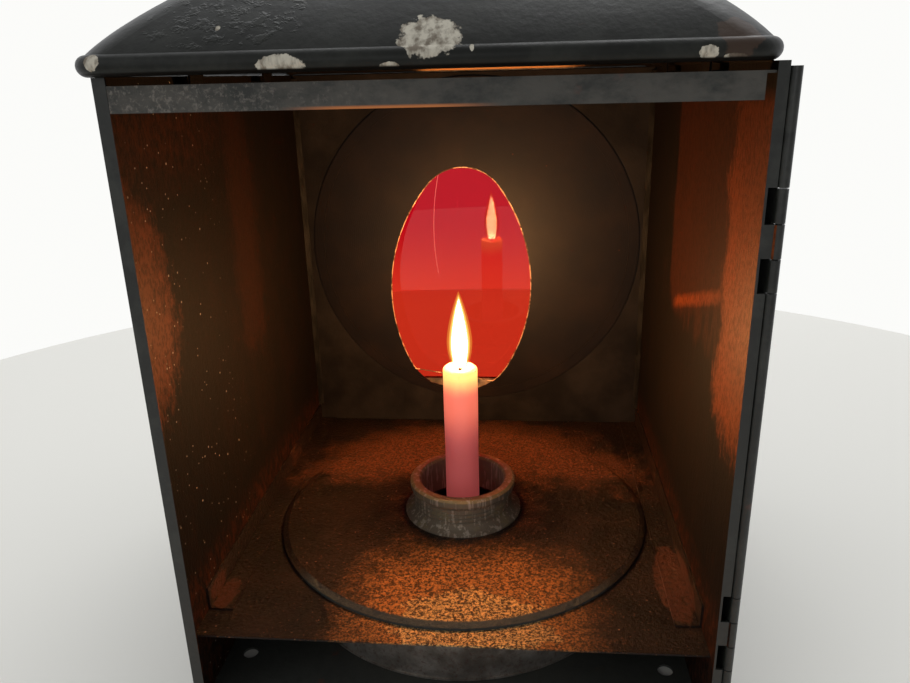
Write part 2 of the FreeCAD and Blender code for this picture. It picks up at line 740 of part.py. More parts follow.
def roof_section(body, name, step, shrink, lift):
    """One rounded rectangle of the roof, `shrink` smaller all round than its outside."""
    half_x = f"(roof_half_x - inset_{step})"
    share = f"({half_x} - neck_half) / (roof_half_x - inset_1 - neck_half)"
    half_y = f"(neck_half + (roof_half_y - inset_1 - neck_half) * {share})"
    sketch = new_sketch(body, name, "XY", f"height_{step} + {lift}")
    draw_rounded_box(sketch, f"{half_x} - {shrink}", f"{half_y} - {shrink}", f"corner_{step} - {shrink}")
    return sketch


def rim_pipe(body, name, radius, kind):
    """The rolled edge follows a rounded rectangle; its section is a circle of the given radius."""
    path = new_sketch(body, name + "_path", "XY", "rim_z")
    middle_x = "(roof_half_x - rim_radius)"
    middle_y = "(roof_half_y - rim_radius)"
    draw_rounded_box(path, middle_x, middle_y, "rim_corner")
    section = new_sketch(body, name + "_section", "XZ")
    draw_circle(section, middle_x, "rim_z", radius)
    pipe = body.newObject("PartDesign::" + kind, name + "_pipe")
    pipe.Profile = section
    pipe.Spine = path
    return pipe


def make_roof():
    body = new_body("roof_shell")
    steps = range(1, len(ROOF_STEPS) + 1)
    outside = [roof_section(body, f"roof_out_{step}", step, "0", "0") for step in steps]
    loft = body.newObject("PartDesign::AdditiveLoft", "roof_outside")
    loft.Profile = outside[0]
    loft.Sections = outside[1:]
    inside = []
    for step in steps:
        lift = "0" if step in (1, len(ROOF_STEPS)) else "-0.3 * roof_sheet"
        inside.append(roof_section(body, f"roof_in_{step}", step, "roof_sheet", lift))
    hollow = body.newObject("PartDesign::SubtractiveLoft", "roof_inside")
    hollow.Profile = inside[0]
    hollow.Sections = inside[1:]
    rim_pipe(body, "rim", "rim_radius", "AdditivePipe")
    rim_pipe(body, "rim_hollow", "rim_bore", "SubtractivePipe")
    place(body, "roof_x", "roof_y", "0")
    wire = new_body("roof_rim_wire")
    rim_pipe(wire, "wire", "rim_wire", "AdditivePipe")
    place(wire, "roof_x", "roof_y", "0")


def make_roof_brackets():
    """Four joggled tabs from the side walls, past the rolled edge, to the underside of the roof."""
    body = new_body("roof_brackets")
    low = "wall_top_z - bracket_foot"
    ledge = "wall_top_z - sheet"
    for side_name, side in (("left", "-1"), ("right", "1")):
        tip = f"bracket_{side_name}_z"
        points = [
            (f"{side} * box_half", low),
            (f"{side} * box_half", ledge),
            (f"{side} * (box_half - bracket_jog)", ledge),
            (f"{side} * (box_half - bracket_jog)", tip),
            (f"{side} * (box_half - bracket_jog - sheet)", tip),
            (f"{side} * (box_half - bracket_jog - sheet)", f"{ledge} - sheet"),
            (f"{side} * (box_half - sheet)", f"{ledge} - sheet"),
            (f"{side} * (box_half - sheet)", low),
        ]
        for end_name, end in (("front", "-1"), ("rear", "1")):
            start = f"roof_y + {end} * bracket_reach - bracket_half"
            add_box(body, f"bracket_{side_name}_{end_name}", "XZ", points, start, "2 * bracket_half")


def make_chimney():
    seat = "chimney_seat_z"
    tube = turned("chimney_tube", [
        ("chimney_radius - sheet", "chimney_low_z"),
        ("chimney_radius", "chimney_low_z"),
        ("chimney_radius", "chimney_top_z"),
        ("chimney_radius - sheet", "chimney_top_z"),
    ])
    collar = turned("chimney_collar", [
        ("chimney_radius", seat),
        ("chimney_radius + chimney_collar_wide", seat),
        ("chimney_radius + chimney_collar_wide", f"{seat} + sheet"),
        ("chimney_radius + 2.7 * sheet", f"{seat} + sheet"),
        ("chimney_radius + sheet", f"{seat} + 3 * sheet"),
        ("chimney_radius + sheet", f"{seat} + chimney_collar_high"),
        ("chimney_radius", f"{seat} + chimney_collar_high"),
    ])
    cone = turned("chimney_cap", [
        ("0", "cap_edge_z + cap_rise"),
        ("cap_radius - cap_bead", "cap_edge_z + cap_bead"),
        ("cap_radius", "cap_edge_z + 0.6 * cap_bead"),
        ("cap_radius", "cap_edge_z"),
        ("cap_skirt", "cap_edge_z"),
        ("0", "cap_edge_z + cap_rise - sheet"),
    ])
    skirt = turned("cap_skirt_ring", [
        ("cap_skirt", "cap_low_z"),
        ("cap_skirt + sheet", "cap_low_z"),
        ("cap_skirt + sheet", "cap_edge_z"),
        ("cap_skirt", "cap_edge_z"),
    ])
    for piece in (tube, collar, cone, skirt):
        place(piece, "roof_x", "roof_y", "0")


def make_baffle():
    """A shallow cone that hides the flame from the cap, on three arms inside the tube."""
    body = turned("chimney_baffle", [
        ("0", "baffle_z + baffle_rise"),
        ("baffle_radius", "baffle_z"),
        ("baffle_radius", "baffle_z + sheet"),
        ("0", "baffle_z + baffle_rise + 1.2 * sheet"),
    ])
    inner = "baffle_radius - baffle_lap"
    outer = "chimney_radius - sheet - baffle_gap"
    sketch = new_sketch(body, "baffle_arm_outline", "XY", "baffle_z")
    draw_polygon(sketch, box(inner, outer, "-baffle_arm", "baffle_arm"))
    arm = pad(body, sketch, "XY", "sheet")
    turn_three(body, arm, "baffle_arms")
    place(body, "roof_x", "roof_y", "0")
    body.setExpression("Placement.Rotation.Angle", bound("leg_turn"))


def turn_three(body, feature, name):
    """Repeats one feature three times about the body's own Z axis."""
    doc.recompute()
    pattern = body.newObject("PartDesign::PolarPattern", name)
    pattern.Originals = [feature]
    for own in body.Origin.OriginFeatures:
        if own.Role == "Z_Axis":
            pattern.Axis = (own, [""])
    pattern.Angle = 360
    pattern.Occurrences = 3
    body.Tip = pattern


def make_cap_legs():
    """Three bent strips between the chimney tube and the inside of the cap's skirt."""
    body = new_body("cap_legs")
    sketch = new_sketch(body, "leg_section", "XZ", "-leg_half")
    tube = "chimney_radius"
    skirt = "cap_skirt - leg_gap"
    ledge = "cap_low_z - leg_step"
    draw_polygon(sketch, [
        (tube, f"{ledge} - leg_foot"),
        (f"{tube} + sheet", f"{ledge} - leg_foot"),
        (f"{tube} + sheet", ledge),
        (skirt, ledge),
        (skirt, "cap_edge_z - leg_tip"),
        (f"{skirt} - sheet", "cap_edge_z - leg_tip"),
        (f"{skirt} - sheet", f"{ledge} + sheet"),
        (tube, f"{ledge} + sheet"),
    ])
    leg = pad(body, sketch, "XZ", "2 * leg_half")
    turn_three(body, leg, "leg_pattern")
    place(body, "roof_x", "roof_y", "0")
    body.setExpression("Placement.Rotation.Angle", bound("leg_turn"))


def make_handle_ears():
    """A joggled ear on each side of the chimney, with the pivot hole for the handle wire."""
    body = new_body("handle_ears")
    tube = "chimney_radius"
    plate = "chimney_radius + ear_gap"
    for name, side in (("right", "1"), ("left", "-1")):
        sketch = new_sketch(body, name + "_ear", "XZ", "-ear_half")
        draw_polygon(sketch, [
            (f"{side} * ({tube})", "pivot_z - ear_drop"),
            (f"{side} * ({tube} + ear_sheet)", "pivot_z - ear_drop"),
            (f"{side} * ({tube} + ear_sheet)", "pivot_z - ear_jog - ear_sheet"),
            (f"{side} * ({plate} + ear_sheet)", "pivot_z - ear_jog - ear_sheet"),
            (f"{side} * ({plate} + ear_sheet)", "pivot_z + ear_half"),
            (f"{side} * ({plate})", "pivot_z + ear_half"),
            (f"{side} * ({plate})", "pivot_z - ear_jog"),
            (f"{side} * ({tube})", "pivot_z - ear_jog"),
        ])
        pad(body, sketch, "XZ", "2 * ear_half")
    hole = new_sketch(body, "pivot_hole", "YZ", "-chimney_radius - ear_gap - 2 * ear_sheet")
    draw_circle(hole, "0", "pivot_z", "handle_wire + handle_gap")
    pocket(body, hole, "YZ", "2 * (chimney_radius + ear_gap + 2 * ear_sheet)")
    place(body, "roof_x", "roof_y", "0")


def make_ear_rivets():
    body = new_body("ear_rivets")
    foot = "chimney_radius + ear_sheet"
    for name, start in (("right", foot), ("left", f"-({foot}) - ear_rivet_high")):
        head = new_sketch(body, name + "_head", "YZ", start)
        for across in ("-ear_rivet_side", "ear_rivet_side"):
            draw_circle(head, across, "pivot_z - ear_rivet_drop", "ear_rivet")
        pad(body, head, "YZ", "ear_rivet_high")
    place(body, "roof_x", "roof_y", "0")


def draw_bail(sketch):
    """Handle wire: in through the ear, out to the arm, along, across, and back the same way."""
    half = value("handle_half")
    reach = value("handle_reach")
    bend = value("handle_bend")
    small = value("handle_wire * 3")
    inner = value("chimney_radius + handle_end")
    normal = FreeCAD.Vector(0, 0, 1)

    def arc(x, y, radius, start):
        circle = Part.Circle(FreeCAD.Vector(x, y, 0), normal, radius)
        first = math.radians(start)
        return sketch.addGeometry(Part.ArcOfCircle(circle, first, first + math.pi / 2), False)

    def line(first, second):
        segment = Part.LineSegment(FreeCAD.Vector(*first, 0), FreeCAD.Vector(*second, 0))
        return sketch.addGeometry(segment, False)

    end_right = line((inner, 0), (half - small, 0))
    elbow_right = arc(half - small, small, small, -90)
    arm_right = line((half, small), (half, reach - bend))
    bend_right = arc(half - bend, reach - bend, bend, 0)
    top = line((half - bend, reach), (-half + bend, reach))
    bend_left = arc(-half + bend, reach - bend, bend, 90)
    arm_left = line((-half, reach - bend), (-half, small))
    elbow_left = arc(-half + small, small, small, 180)
    end_left = line((-half + small, 0), (-inner, 0))
    chain = [end_right, elbow_right, arm_right, bend_right, top, bend_left, arm_left, elbow_left, end_left]
    for piece, following in zip(chain, chain[1:]):
        sketch.addConstraint(Sketcher.Constraint("Tangent", piece, 2, following, 1))
    for piece in (end_right, top, end_left):
        sketch.addConstraint(Sketcher.Constraint("Horizontal", piece))
    pin_point(sketch, end_right, 1, "chimney_radius + handle_end", "0")
    pin_point(sketch, end_left, 2, "-chimney_radius - handle_end", "0")
    pin_point(sketch, elbow_right, 3, "handle_half - handle_wire * 3", "handle_wire * 3")
    pin_point(sketch, bend_right, 3, "handle_half - handle_bend", "handle_reach - handle_bend")
    pin_point(sketch, bend_left, 3, "-handle_half + handle_bend", "handle_reach - handle_bend")
    fix_radius(sketch, bend_left, "handle_bend")
    fix_radius(sketch, elbow_left, "handle_wire * 3")


def make_handle():
    """Drawn flat about its pivot, then dropped to its rest angle behind the chimney."""
    wire = new_body("handle_wire")
    path = new_sketch(wire, "bail_path", "XY")
    draw_bail(path)
    section = new_sketch(wire, "bail_section", "YZ", "chimney_radius + handle_end")
    draw_circle(section, "0", "0", "handle_wire")
    pipe = wire.newObject("PartDesign::AdditivePipe", "bail_pipe")
    pipe.Profile = section
    pipe.Spine = path
    end = "chimney_radius + handle_end"
    for name, start in (("right", end), ("left", f"-({end}) - handle_head")):
        head = new_sketch(wire, name + "_end_head", "YZ", start)
        draw_circle(head, "0", "0", "handle_wire * 5 / 3")
        pad(wire, head, "YZ", "handle_head")
    grip = new_body("handle_grip")
    outline = new_sketch(grip, "grip_profile", "XY")
    bore = "handle_wire + handle_gap"
    draw_polygon(outline, [
        ("-grip_half", bore),
        ("grip_half", bore),
        ("grip_half", "0.68 * grip_radius"),
        ("0.9 * grip_half", "0.84 * grip_radius"),
        ("0.67 * grip_half", "0.96 * grip_radius"),
        ("0", "grip_radius"),
        ("-0.67 * grip_half", "0.96 * grip_radius"),
        ("-0.9 * grip_half", "0.84 * grip_radius"),
        ("-grip_half", "0.68 * grip_radius"),
    ])
    turn = grip.newObject("PartDesign::Revolution", "grip_turn")
    turn.Profile = outline
    turn.ReferenceAxis = (outline, ["H_Axis"])
    turn.Angle = 360
    droop = value("handle_droop")
    rest = FreeCAD.Rotation(FreeCAD.Vector(1, 0, 0), droop)
    pivot = FreeCAD.Vector(value("roof_x"), value("roof_y"), value("pivot_z"))
    wire.Placement = FreeCAD.Placement(pivot, rest)
    middle = pivot + rest.multVec(FreeCAD.Vector(0, value("handle_reach"), 0))
    grip.Placement = FreeCAD.Placement(middle, rest)


def make_door():
    """Folded back along the right wall, with its near edge rolled about the hinge axis."""
    face = "hinge_x - knuckle"
    back = "hinge_x - knuckle + sheet"
    tip = "hinge_x - knuckle + door_flange"
    far = "hinge_y + hinge_x + box_half + sheet + door_lap"
    high = "wall_top_z - door_low_z"
    points = [
        (face, "hinge_y"),
        (back, "hinge_y"),
        (back, far),
        (tip, far),
        (tip, f"{far} + sheet"),
        (face, f"{far} + sheet"),
    ]
    body = bar("door_panel", "XY", points, "door_low_z", high)
    knuckle_ring(body, "door_roll", "door_low_z", high)
    cut_y = "hinge_y + hinge_clear"
    for name, low in (("lower", "hinge_low_z"), ("upper", "hinge_high_z")):
        side = "hinge_clear"
        notch = box(f"hinge_x - {side}", f"hinge_x + {side}", f"hinge_y - {side}", cut_y)
        cut_box(body, name + "_door_notch", "XY", notch, f"{low} - knuckle_gap", "hinge_long + 2 * knuckle_gap")
        for end, start in (("a", low), ("b", f"{low} + hinge_long - knuckle_long")):
            tongue = box(face, back, "hinge_y", cut_y)
            add_box(body, f"{name}_door_tongue_{end}", "XY", tongue, start, "knuckle_long")
            knuckle_ring(body, f"{name}_door_knuckle_{end}", start, "knuckle_long")
    knuckle_bore(body, "door_bore", "door_low_z", high)
    neck = "hook_standoff + hook_sheet + 5 * stud_play"
    stud = turned("latch_stud", [
        ("0", "0"),
        ("stud_neck", "0"),
        ("stud_neck", neck),
        ("stud_head", neck),
        ("stud_head", f"{neck} + sheet"),
        ("0.6 * stud_head", f"{neck} + sheet + stud_dome / 2"),
        ("0", f"{neck} + sheet + stud_dome / 2"),
    ])
    stud_x = value("hinge_x + (latch_y - latch_reach - hinge_y)")
    stud_y = value(f"{far} + sheet")
    facing = FreeCAD.Rotation(FreeCAD.Vector(0, 0, 1), FreeCAD.Vector(0, 1, 0))
    stud.Placement = FreeCAD.Placement(FreeCAD.Vector(stud_x, stud_y, value("latch_z")), facing)


def make_latch():
    """The hook hangs down; lifted to level it drops over the door's stud."""
    slot = "(stud_neck + hook_play)"
    end = "-latch_reach - hook_tip"
    points = [
        ("-hook_half", "hook_half"),
        ("hook_half", "hook_half"),
        ("hook_half", f"-latch_reach + {slot}"),
        (f"-{slot}", f"-latch_reach + {slot}"),
        (f"-{slot}", f"-latch_reach - {slot}"),
        ("hook_half", f"-latch_reach - {slot}"),
        ("hook_half", end),
        ("-hook_half / 2", end),
        ("-hook_half", f"{end} + hook_half / 2"),
    ]
    wall = "-box_half - sheet"
    hook = bar("latch_hook", "YZ", points, "0", "hook_sheet", [("0", "0", "stud_neck + pin_gap")])
    tab = box("-hook_half / 2", "hook_half", end, f"{end} + hook_sheet")
    add_box(hook, "finger_tab", "YZ", tab, "-tab_reach", "tab_reach + hook_sheet / 2")
    place(hook, f"{wall} - hook_standoff - hook_sheet", "latch_y", "latch_z")
    washer = "hook_standoff - stud_play"
    head = "hook_standoff + hook_sheet + stud_play"
    pivot = turned("latch_pivot", [
        ("0", "0"),
        ("stud_head", "0"),
        ("stud_head", washer),
        ("stud_neck", washer),
        ("stud_neck", head),
        ("stud_head", head),
        ("0.67 * stud_head", f"{head} + stud_dome"),
        ("0", f"{head} + stud_dome"),
    ])
    facing = FreeCAD.Rotation(FreeCAD.Vector(0, 0, 1), FreeCAD.Vector(-1, 0, 0))
    at = FreeCAD.Vector(value(wall), value("latch_y"), value("latch_z"))
    pivot.Placement = FreeCAD.Placement(at, facing)


def check_and_export():
    doc.recompute()
    for item in doc.Objects:
        if "Invalid" in item.State or "Error" in item.State:
            raise RuntimeError(f"{item.Label}: {item.State}")
    os.makedirs("parts", exist_ok=True)
    whole = FreeCAD.BoundBox()
    for body in SUBPARTS:
        if body.Shape.isNull() or not body.Shape.isValid():
            raise RuntimeError(f"{body.Label}: no valid shape")
        whole.add(body.Shape.BoundBox)
        body.Shape.exportStep(f"parts/{body.Label}.step")
        print(f"{body.Label}: {len(body.Shape.Solids)} solids, {body.Shape.Volume:.0f} mm3")
    print("bounding box", whole)


make_base_plate()
make_left_wall()
make_right_wall()
make_hinge_pins()
make_window_wall()
make_corner_solder()
make_window_disc()
make_header_strip()
make_floor_plate()
make_floor_angles()
make_glass_rails()
make_glass()
make_font()
make_candle()
make_roof()
make_roof_brackets()
make_chimney()
make_baffle()
make_cap_legs()
make_handle_ears()
make_ear_rivets()
make_handle()
make_door()
make_latch()
check_and_export()
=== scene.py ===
"""Looks of the candle-lit darkroom lantern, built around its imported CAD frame.

Metres, +Z up, +Y out through the ruby glass; the door opening faces -Y.
"""
import bmesh
import bpy
import json
import math
from mathutils import Euler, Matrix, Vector

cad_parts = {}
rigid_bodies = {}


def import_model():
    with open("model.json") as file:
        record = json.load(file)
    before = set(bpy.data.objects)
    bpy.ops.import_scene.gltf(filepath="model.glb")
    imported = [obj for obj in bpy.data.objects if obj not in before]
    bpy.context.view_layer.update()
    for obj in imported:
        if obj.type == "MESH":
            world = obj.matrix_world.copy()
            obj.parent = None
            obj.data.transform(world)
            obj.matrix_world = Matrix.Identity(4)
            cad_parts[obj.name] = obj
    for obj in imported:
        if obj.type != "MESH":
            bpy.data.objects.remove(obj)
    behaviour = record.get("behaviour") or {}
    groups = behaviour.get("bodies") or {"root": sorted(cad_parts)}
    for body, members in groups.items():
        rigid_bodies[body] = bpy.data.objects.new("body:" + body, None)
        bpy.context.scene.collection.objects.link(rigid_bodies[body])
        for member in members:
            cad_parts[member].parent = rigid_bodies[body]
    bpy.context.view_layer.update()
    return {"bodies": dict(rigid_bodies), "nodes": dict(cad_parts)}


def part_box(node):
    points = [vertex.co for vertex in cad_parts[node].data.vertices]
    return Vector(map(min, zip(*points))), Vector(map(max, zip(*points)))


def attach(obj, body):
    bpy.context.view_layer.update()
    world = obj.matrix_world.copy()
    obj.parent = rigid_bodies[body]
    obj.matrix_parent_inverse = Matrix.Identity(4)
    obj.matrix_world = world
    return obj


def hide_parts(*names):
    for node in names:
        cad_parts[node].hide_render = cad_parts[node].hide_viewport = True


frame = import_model()
NODES = frame["nodes"]
MM = 0.001

# ---------------------------------------------------------------- colours, linear

JAPAN = (0.011, 0.012, 0.010)
JAPAN_GREY = (0.040, 0.042, 0.036)
BARE_PAINT = (0.62, 0.58, 0.48)
CHIP_SHADE = (0.20, 0.17, 0.13)
HEADER_DUST = (0.088, 0.082, 0.070)
HEADER_SCRUB = (0.20, 0.18, 0.155)
HEADER_EDGE_HIGHLIGHT = (0.62, 0.20, 0.05)
WORN_CORNER_BROWN = (0.060, 0.036, 0.024)
PAINTED_VENT_GLOW_ORANGE = (0.80, 0.42, 0.16)
RUST_BROWN = (0.205, 0.047, 0.010)
RED_BROWN = (0.13, 0.030, 0.014)
ANGLE_RUST = (0.105, 0.036, 0.018)

SOOT = (0.0065, 0.0055, 0.0045)
FAR_WALL_GREY = (0.022, 0.020, 0.017)
DISC_SOOT = (0.006, 0.004, 0.003)
DISC_SMOKE = (0.015, 0.009, 0.005)
CAKED_SOOT = (0.003, 0.0027, 0.0025)
CAKED_SOOT_GREY = (0.009, 0.007, 0.006)

CRUST_BLACK = (0.005, 0.004, 0.003)
CRUST_BROWN = (0.017, 0.009, 0.006)
CRUST_RUST = (0.26, 0.085, 0.034)
CRUST_GLINT = (0.42, 0.18, 0.085)
CRUST_SPARKLE_GLINT = (0.55, 0.30, 0.16)
FRONT_BROWN_AND_HIGHLIGHT = (0.085, 0.035, 0.012)
GILT_AND_HIGHLIGHT = (0.62, 0.27, 0.085)
HOT_HIGHLIGHT = (1.0, 0.68, 0.30)
RIM_REFLECTION_DARK = (0.020, 0.024, 0.022)
RIM_REFLECTION_GREY = (0.080, 0.092, 0.084)

TIN = (0.42, 0.39, 0.35)
TIN_DULL = (0.15, 0.13, 0.11)
TIN_PAINTED_CANDLELIGHT = (0.95, 0.72, 0.50)
CUT_TIN_DARK = (0.20, 0.11, 0.05)
CUT_TIN = (0.85, 0.62, 0.40)
BURR_DARK = (0.16, 0.07, 0.035)
BURR = (0.98, 0.60, 0.36)
SOLDER_DARK = (0.003, 0.003, 0.003)
SOLDER = (0.014, 0.014, 0.013)
IRON = (0.020, 0.018, 0.016)
IRON_RUBBED = (0.20, 0.18, 0.16)
BRASS = (0.36, 0.28, 0.13)
BRASS_DARK = (0.25, 0.20, 0.14)
BRASS_SCRATCH = (0.52, 0.44, 0.34)

RUBY = (0.50, 0.0004, 0.009)
RUBY_PAINTED_GLOW = (0.74, 0.036, 0.014)
RUBY_MARK = (0.95, 0.14, 0.12)
WAX = (0.62, 0.13, 0.13)
WAX_YELLOW_GLOW = (1.0, 0.80, 0.20)
WAX_PINK_GLOW = (0.85, 0.17, 0.10)
WAX_DEEP_GLOW = (0.44, 0.075, 0.070)
SET_WAX_DEEP = (0.30, 0.045, 0.05)
SET_WAX = (0.50, 0.10, 0.11)
WICK = (0.012, 0.008, 0.006)
EMBER = (1.0, 0.16, 0.02)
BEECH_BLACK = (0.012, 0.009, 0.007)
BEECH_DARK = (0.035, 0.020, 0.012)
BEECH_WORN = (0.12, 0.058, 0.026)
PALE_FLOOR = (0.80, 0.79, 0.74)
FLAME_LIGHT = (1.0, 0.42, 0.13)

# ---------------------------------------------------------------- places, mm: middle and half sizes

ROOF_CHIPS = (
    # where the paint has flaked off the roof
    ((2.0, -85.5, 195.0), (6.8, 6.5, 6.0)),
    ((-31.0, -89.4, 190.2), (5.6, 3.0, 2.2)),
    ((-6.8, -88.6, 189.3), (2.2, 2.0, 1.1)),
    ((-75.5, -89.4, 192.0), (1.9, 2.0, 1.9)),
    ((61.8, -89.3, 190.6), (1.8, 2.0, 1.6)),
    ((67.5, -88.6, 189.4), (2.4, 2.0, 0.9)),
    ((11.4, -89.1, 192.8), (0.5, 2.0, 0.9)),
    ((-47.2, -82.8, 198.6), (0.6, 2.0, 0.6)),
)
ROOF_WORN_CORNER = ((68.5, -87, 194), (4.5, 5, 6))
ROOF_BLISTER = ((-46, -80, 201), (19, 12, 9))
HOT_HIGHLIGHT_SPOT = ((8, -73, 27), (24, 15, 9))
RUSTY_ANGLE_ENDS = (
    ((73, -49, 28), (6.5, 20, 4.5)),
    ((-74, -62, 30), (4.0, 10, 5.0)),
)

# ---------------------------------------------------------------- glass, flame, camera

FONT_EDGE_RADIUS = 68.2 * MM
OPENING_REACH = 66 * MM         # the egg-shaped opening ends nearer the disc's middle than this
CRACK_MIDDLE_X = 30 * MM
CRACK_MIDDLE_Z = 118 * MM
CRACK_RADIUS = 49 * MM
CRACK_STRETCH = 0.62
GLASS_LEAN = 0.045
GLASS_TWIST = 0.022

FLAME_SHELLS = (
    # name, greatest radius and length in mm, colour, strength, opacity
    ("flame_core", 2.85, 25.6, (1.0, 0.72, 0.34), 80.0, 1.0),
    ("flame_inner", 3.35, 26.6, (1.0, 0.80, 0.30), 2.2, 0.60),
    ("flame_mantle", 3.85, 27.4, (1.0, 0.55, 0.10), 1.4, 0.42),
    ("flame_edge", 4.60, 28.6, (1.0, 0.34, 0.05), 1.0, 0.24),
)
FLAME_HEIGHT = 27 * MM
FLAME_FOOT = 0.6 * MM           # the flame starts this far under the candle's top
FLAME_WIDEST_AT = 0.34          # share of its length
FLAME_POWER = 0.50
FLAME_LAMPS = (
    # share of the flame's height, radius in mm, share of its power
    (0.24, 2.6, 0.30),
    (0.42, 3.0, 0.36),
    (0.60, 2.2, 0.22),
    (0.76, 1.3, 0.12),
)

CAMERA_PLACE = Vector((22.7, -266.7, 187.1)) * MM
CAMERA_LENS = 30.27
CAMERA_DOWN = 19.17
CAMERA_LEFT = 5.34
CAMERA_ROLL = 1.44

STUDIO_LAMPS = (
    # name, place, target, size, power
    ("soft_key", (-0.75, -0.75, 0.80), (0, 0, 0.2), 0.7, 1.2),
    ("soft_top", (0.1, 0.95, 1.3), (0.0, 0.15, 0.0), 1.2, 9.0),
    ("soft_front", (-0.25, -1.1, 0.32), (0.0, 0.0, 0.1), 0.5, 0.7),
)
STUDIO_SEEN = (0.97, 0.97, 0.95, 1.0)
STUDIO_LIGHT = (0.97, 0.98, 1.0, 1.0)
STUDIO_FALL = {"From Min": -0.55, "From Max": 0.75, "To Min": 0.34, "To Max": 1.05}
FLOOR_RADIUS = 0.42
FLOOR_GAP = 0.2 * MM            # the floor lies this far under the base


class Shader:
    """A material's node tree, with one short call for each kind of node used here."""

    def __init__(self, name):
        self.material = bpy.data.materials.new(name)
        self.material.use_nodes = True
        self.tree = self.material.node_tree
        self.surface = self.tree.nodes["Principled BSDF"]
        coords = self.tree.nodes.new("ShaderNodeTexCoord")
        self.place = coords.outputs["Object"]
        self.x, self.y, self.z = self.split(self.place)
        self.nx, self.ny, self.nz = self.split(coords.outputs["Normal"])

    def feed(self, socket, value):
        """Sets an input, or links it when the value is another node's output."""
        if isinstance(value, bpy.types.NodeSocket):
            self.tree.links.new(value, socket)
        elif hasattr(value, "__len__") and len(value) == 3 and socket.type == "RGBA":
            socket.default_value = (*value, 1.0)
        else:
            socket.default_value = value

    def split(self, vector):
        node = self.tree.nodes.new("ShaderNodeSeparateXYZ")
        self.feed(node.inputs[0], vector)
        return node.outputs

    def calc(self, operation, *values):
        node = self.tree.nodes.new("ShaderNodeMath")
        node.operation = operation
        for socket, value in zip(node.inputs, values):
            self.feed(socket, value)
        return node.outputs[0]

    def fold(self, operation, values):
        """One operation over all the values, from the first to the last."""
        total = values[0]
        for value in values[1:]:
            total = self.calc(operation, total, value)
        return total

    def add(self, *values):
        return self.fold("ADD", values)

    def times(self, *values):
        return self.fold("MULTIPLY", values)

    def most(self, *values):
        return self.fold("MAXIMUM", values)

    def invert(self, value):
        return self.calc("SUBTRACT", 1.0, value)

    def distance(self, *offsets):
        """Length of a vector, from its parts."""
        return self.calc("SQRT", self.add(*[self.times(part, part) for part in offsets]))

    def ramp(self, value, low, high, to_low=0.0, to_high=1.0):
        """A smooth step from `to_low` at `low` to `to_high` at `high`."""
        node = self.tree.nodes.new("ShaderNodeMapRange")
        node.interpolation_type = "SMOOTHSTEP"
        if low > high:
            low, high, to_low, to_high = high, low, to_high, to_low
        for socket, number in zip(node.inputs, (value, low, high, to_low, to_high)):
            self.feed(socket, number)
        return node.outputs[0]

    def band(self, value, start, end, soft):
        """1 between start and end, falling to 0 over `soft` on either side."""
        rise = self.ramp(value, start - soft, start + soft)
        fall = self.ramp(value, end + soft, end - soft)
        return self.times(rise, fall)

    def mix(self, share, first, second):
        node = self.tree.nodes.new("ShaderNodeMix")
        node.data_type = "RGBA"
        inputs = {socket.identifier: socket for socket in node.inputs}
        self.feed(inputs["Factor_Float"], share)
        self.feed(inputs["A_Color"], first)
        self.feed(inputs["B_Color"], second)
        return next(item for item in node.outputs if item.identifier == "Result_Color")

    def blend(self, share, first, second):
        """Like mix, for plain numbers."""
        return self.add(self.times(share, second), self.times(self.invert(share), first))

    def stretched(self, stretch, shift):
        node = self.tree.nodes.new("ShaderNodeMapping")
        self.feed(node.inputs["Vector"], self.place)
        node.inputs["Location"].default_value = (shift, -shift, 0.5 * shift)
        node.inputs["Scale"].default_value = stretch
        return node.outputs[0]

    def noise(self, size, detail=3.0, rough=0.55, stretch=(1, 1, 1), shift=0.0, warp=0.0):
        """Noise whose features are about `size` metres across."""
        node = self.tree.nodes.new("ShaderNodeTexNoise")
        self.feed(node.inputs["Vector"], self.stretched(stretch, shift))
        node.inputs["Scale"].default_value = 1.0 / size
        node.inputs["Detail"].default_value = detail
        node.inputs["Roughness"].default_value = rough
        node.inputs["Distortion"].default_value = warp
        return node.outputs["Fac"]

    def swing(self, noise, reach):
        """Noise moved to lie about zero, and scaled."""
        return self.times(self.add(noise, -0.5), reach)

    def cells(self, size, stretch=(1, 1, 1), shift=0.0, feature="F1", output="Distance"):
        node = self.tree.nodes.new("ShaderNodeTexVoronoi")
        node.feature = feature
        self.feed(node.inputs["Vector"], self.stretched(stretch, shift))
        node.inputs["Scale"].default_value = 1.0 / size
        return node.outputs[output]

    def specks(self, spacing, radius, share, shift=0.0):
        """Small round specks, in about `share` of the cells of a random pattern."""
        reach = radius / spacing
        near = self.ramp(self.cells(spacing, shift=shift), reach, 0.6 * reach)
        split = self.tree.nodes.new("ShaderNodeSeparateColor")
        self.feed(split.inputs[0], self.cells(spacing, shift=shift, output="Color"))
        return self.times(near, self.calc("LESS_THAN", split.outputs[0], share))

    def spot(self, place, ragged, size, shift):
        """1 inside an ellipsoid given as middle and half sizes in mm, with a ragged edge."""
        parts = []
        for socket, middle, half in zip((self.x, self.y, self.z), *place):
            offset = self.calc("SUBTRACT", socket, middle * MM)
            parts.append(self.calc("DIVIDE", offset, half * MM))
        wave = self.swing(self.noise(size, 4.0, 0.6, shift=shift), ragged)
        return self.ramp(self.add(self.distance(*parts), wave), 1.05, 0.95)

    def bump(self, height, distance, strength=1.0):
        node = self.tree.nodes.new("ShaderNodeBump")
        self.feed(node.inputs["Height"], height)
        node.inputs["Distance"].default_value = distance
        node.inputs["Strength"].default_value = strength
        return node.outputs[0]

    def set(self, **inputs):
        """Principled inputs by name, with _ for each space. Returns the material."""
        for name, value in inputs.items():
            self.feed(self.surface.inputs[name.replace("_", " ")], value)
        return self.material


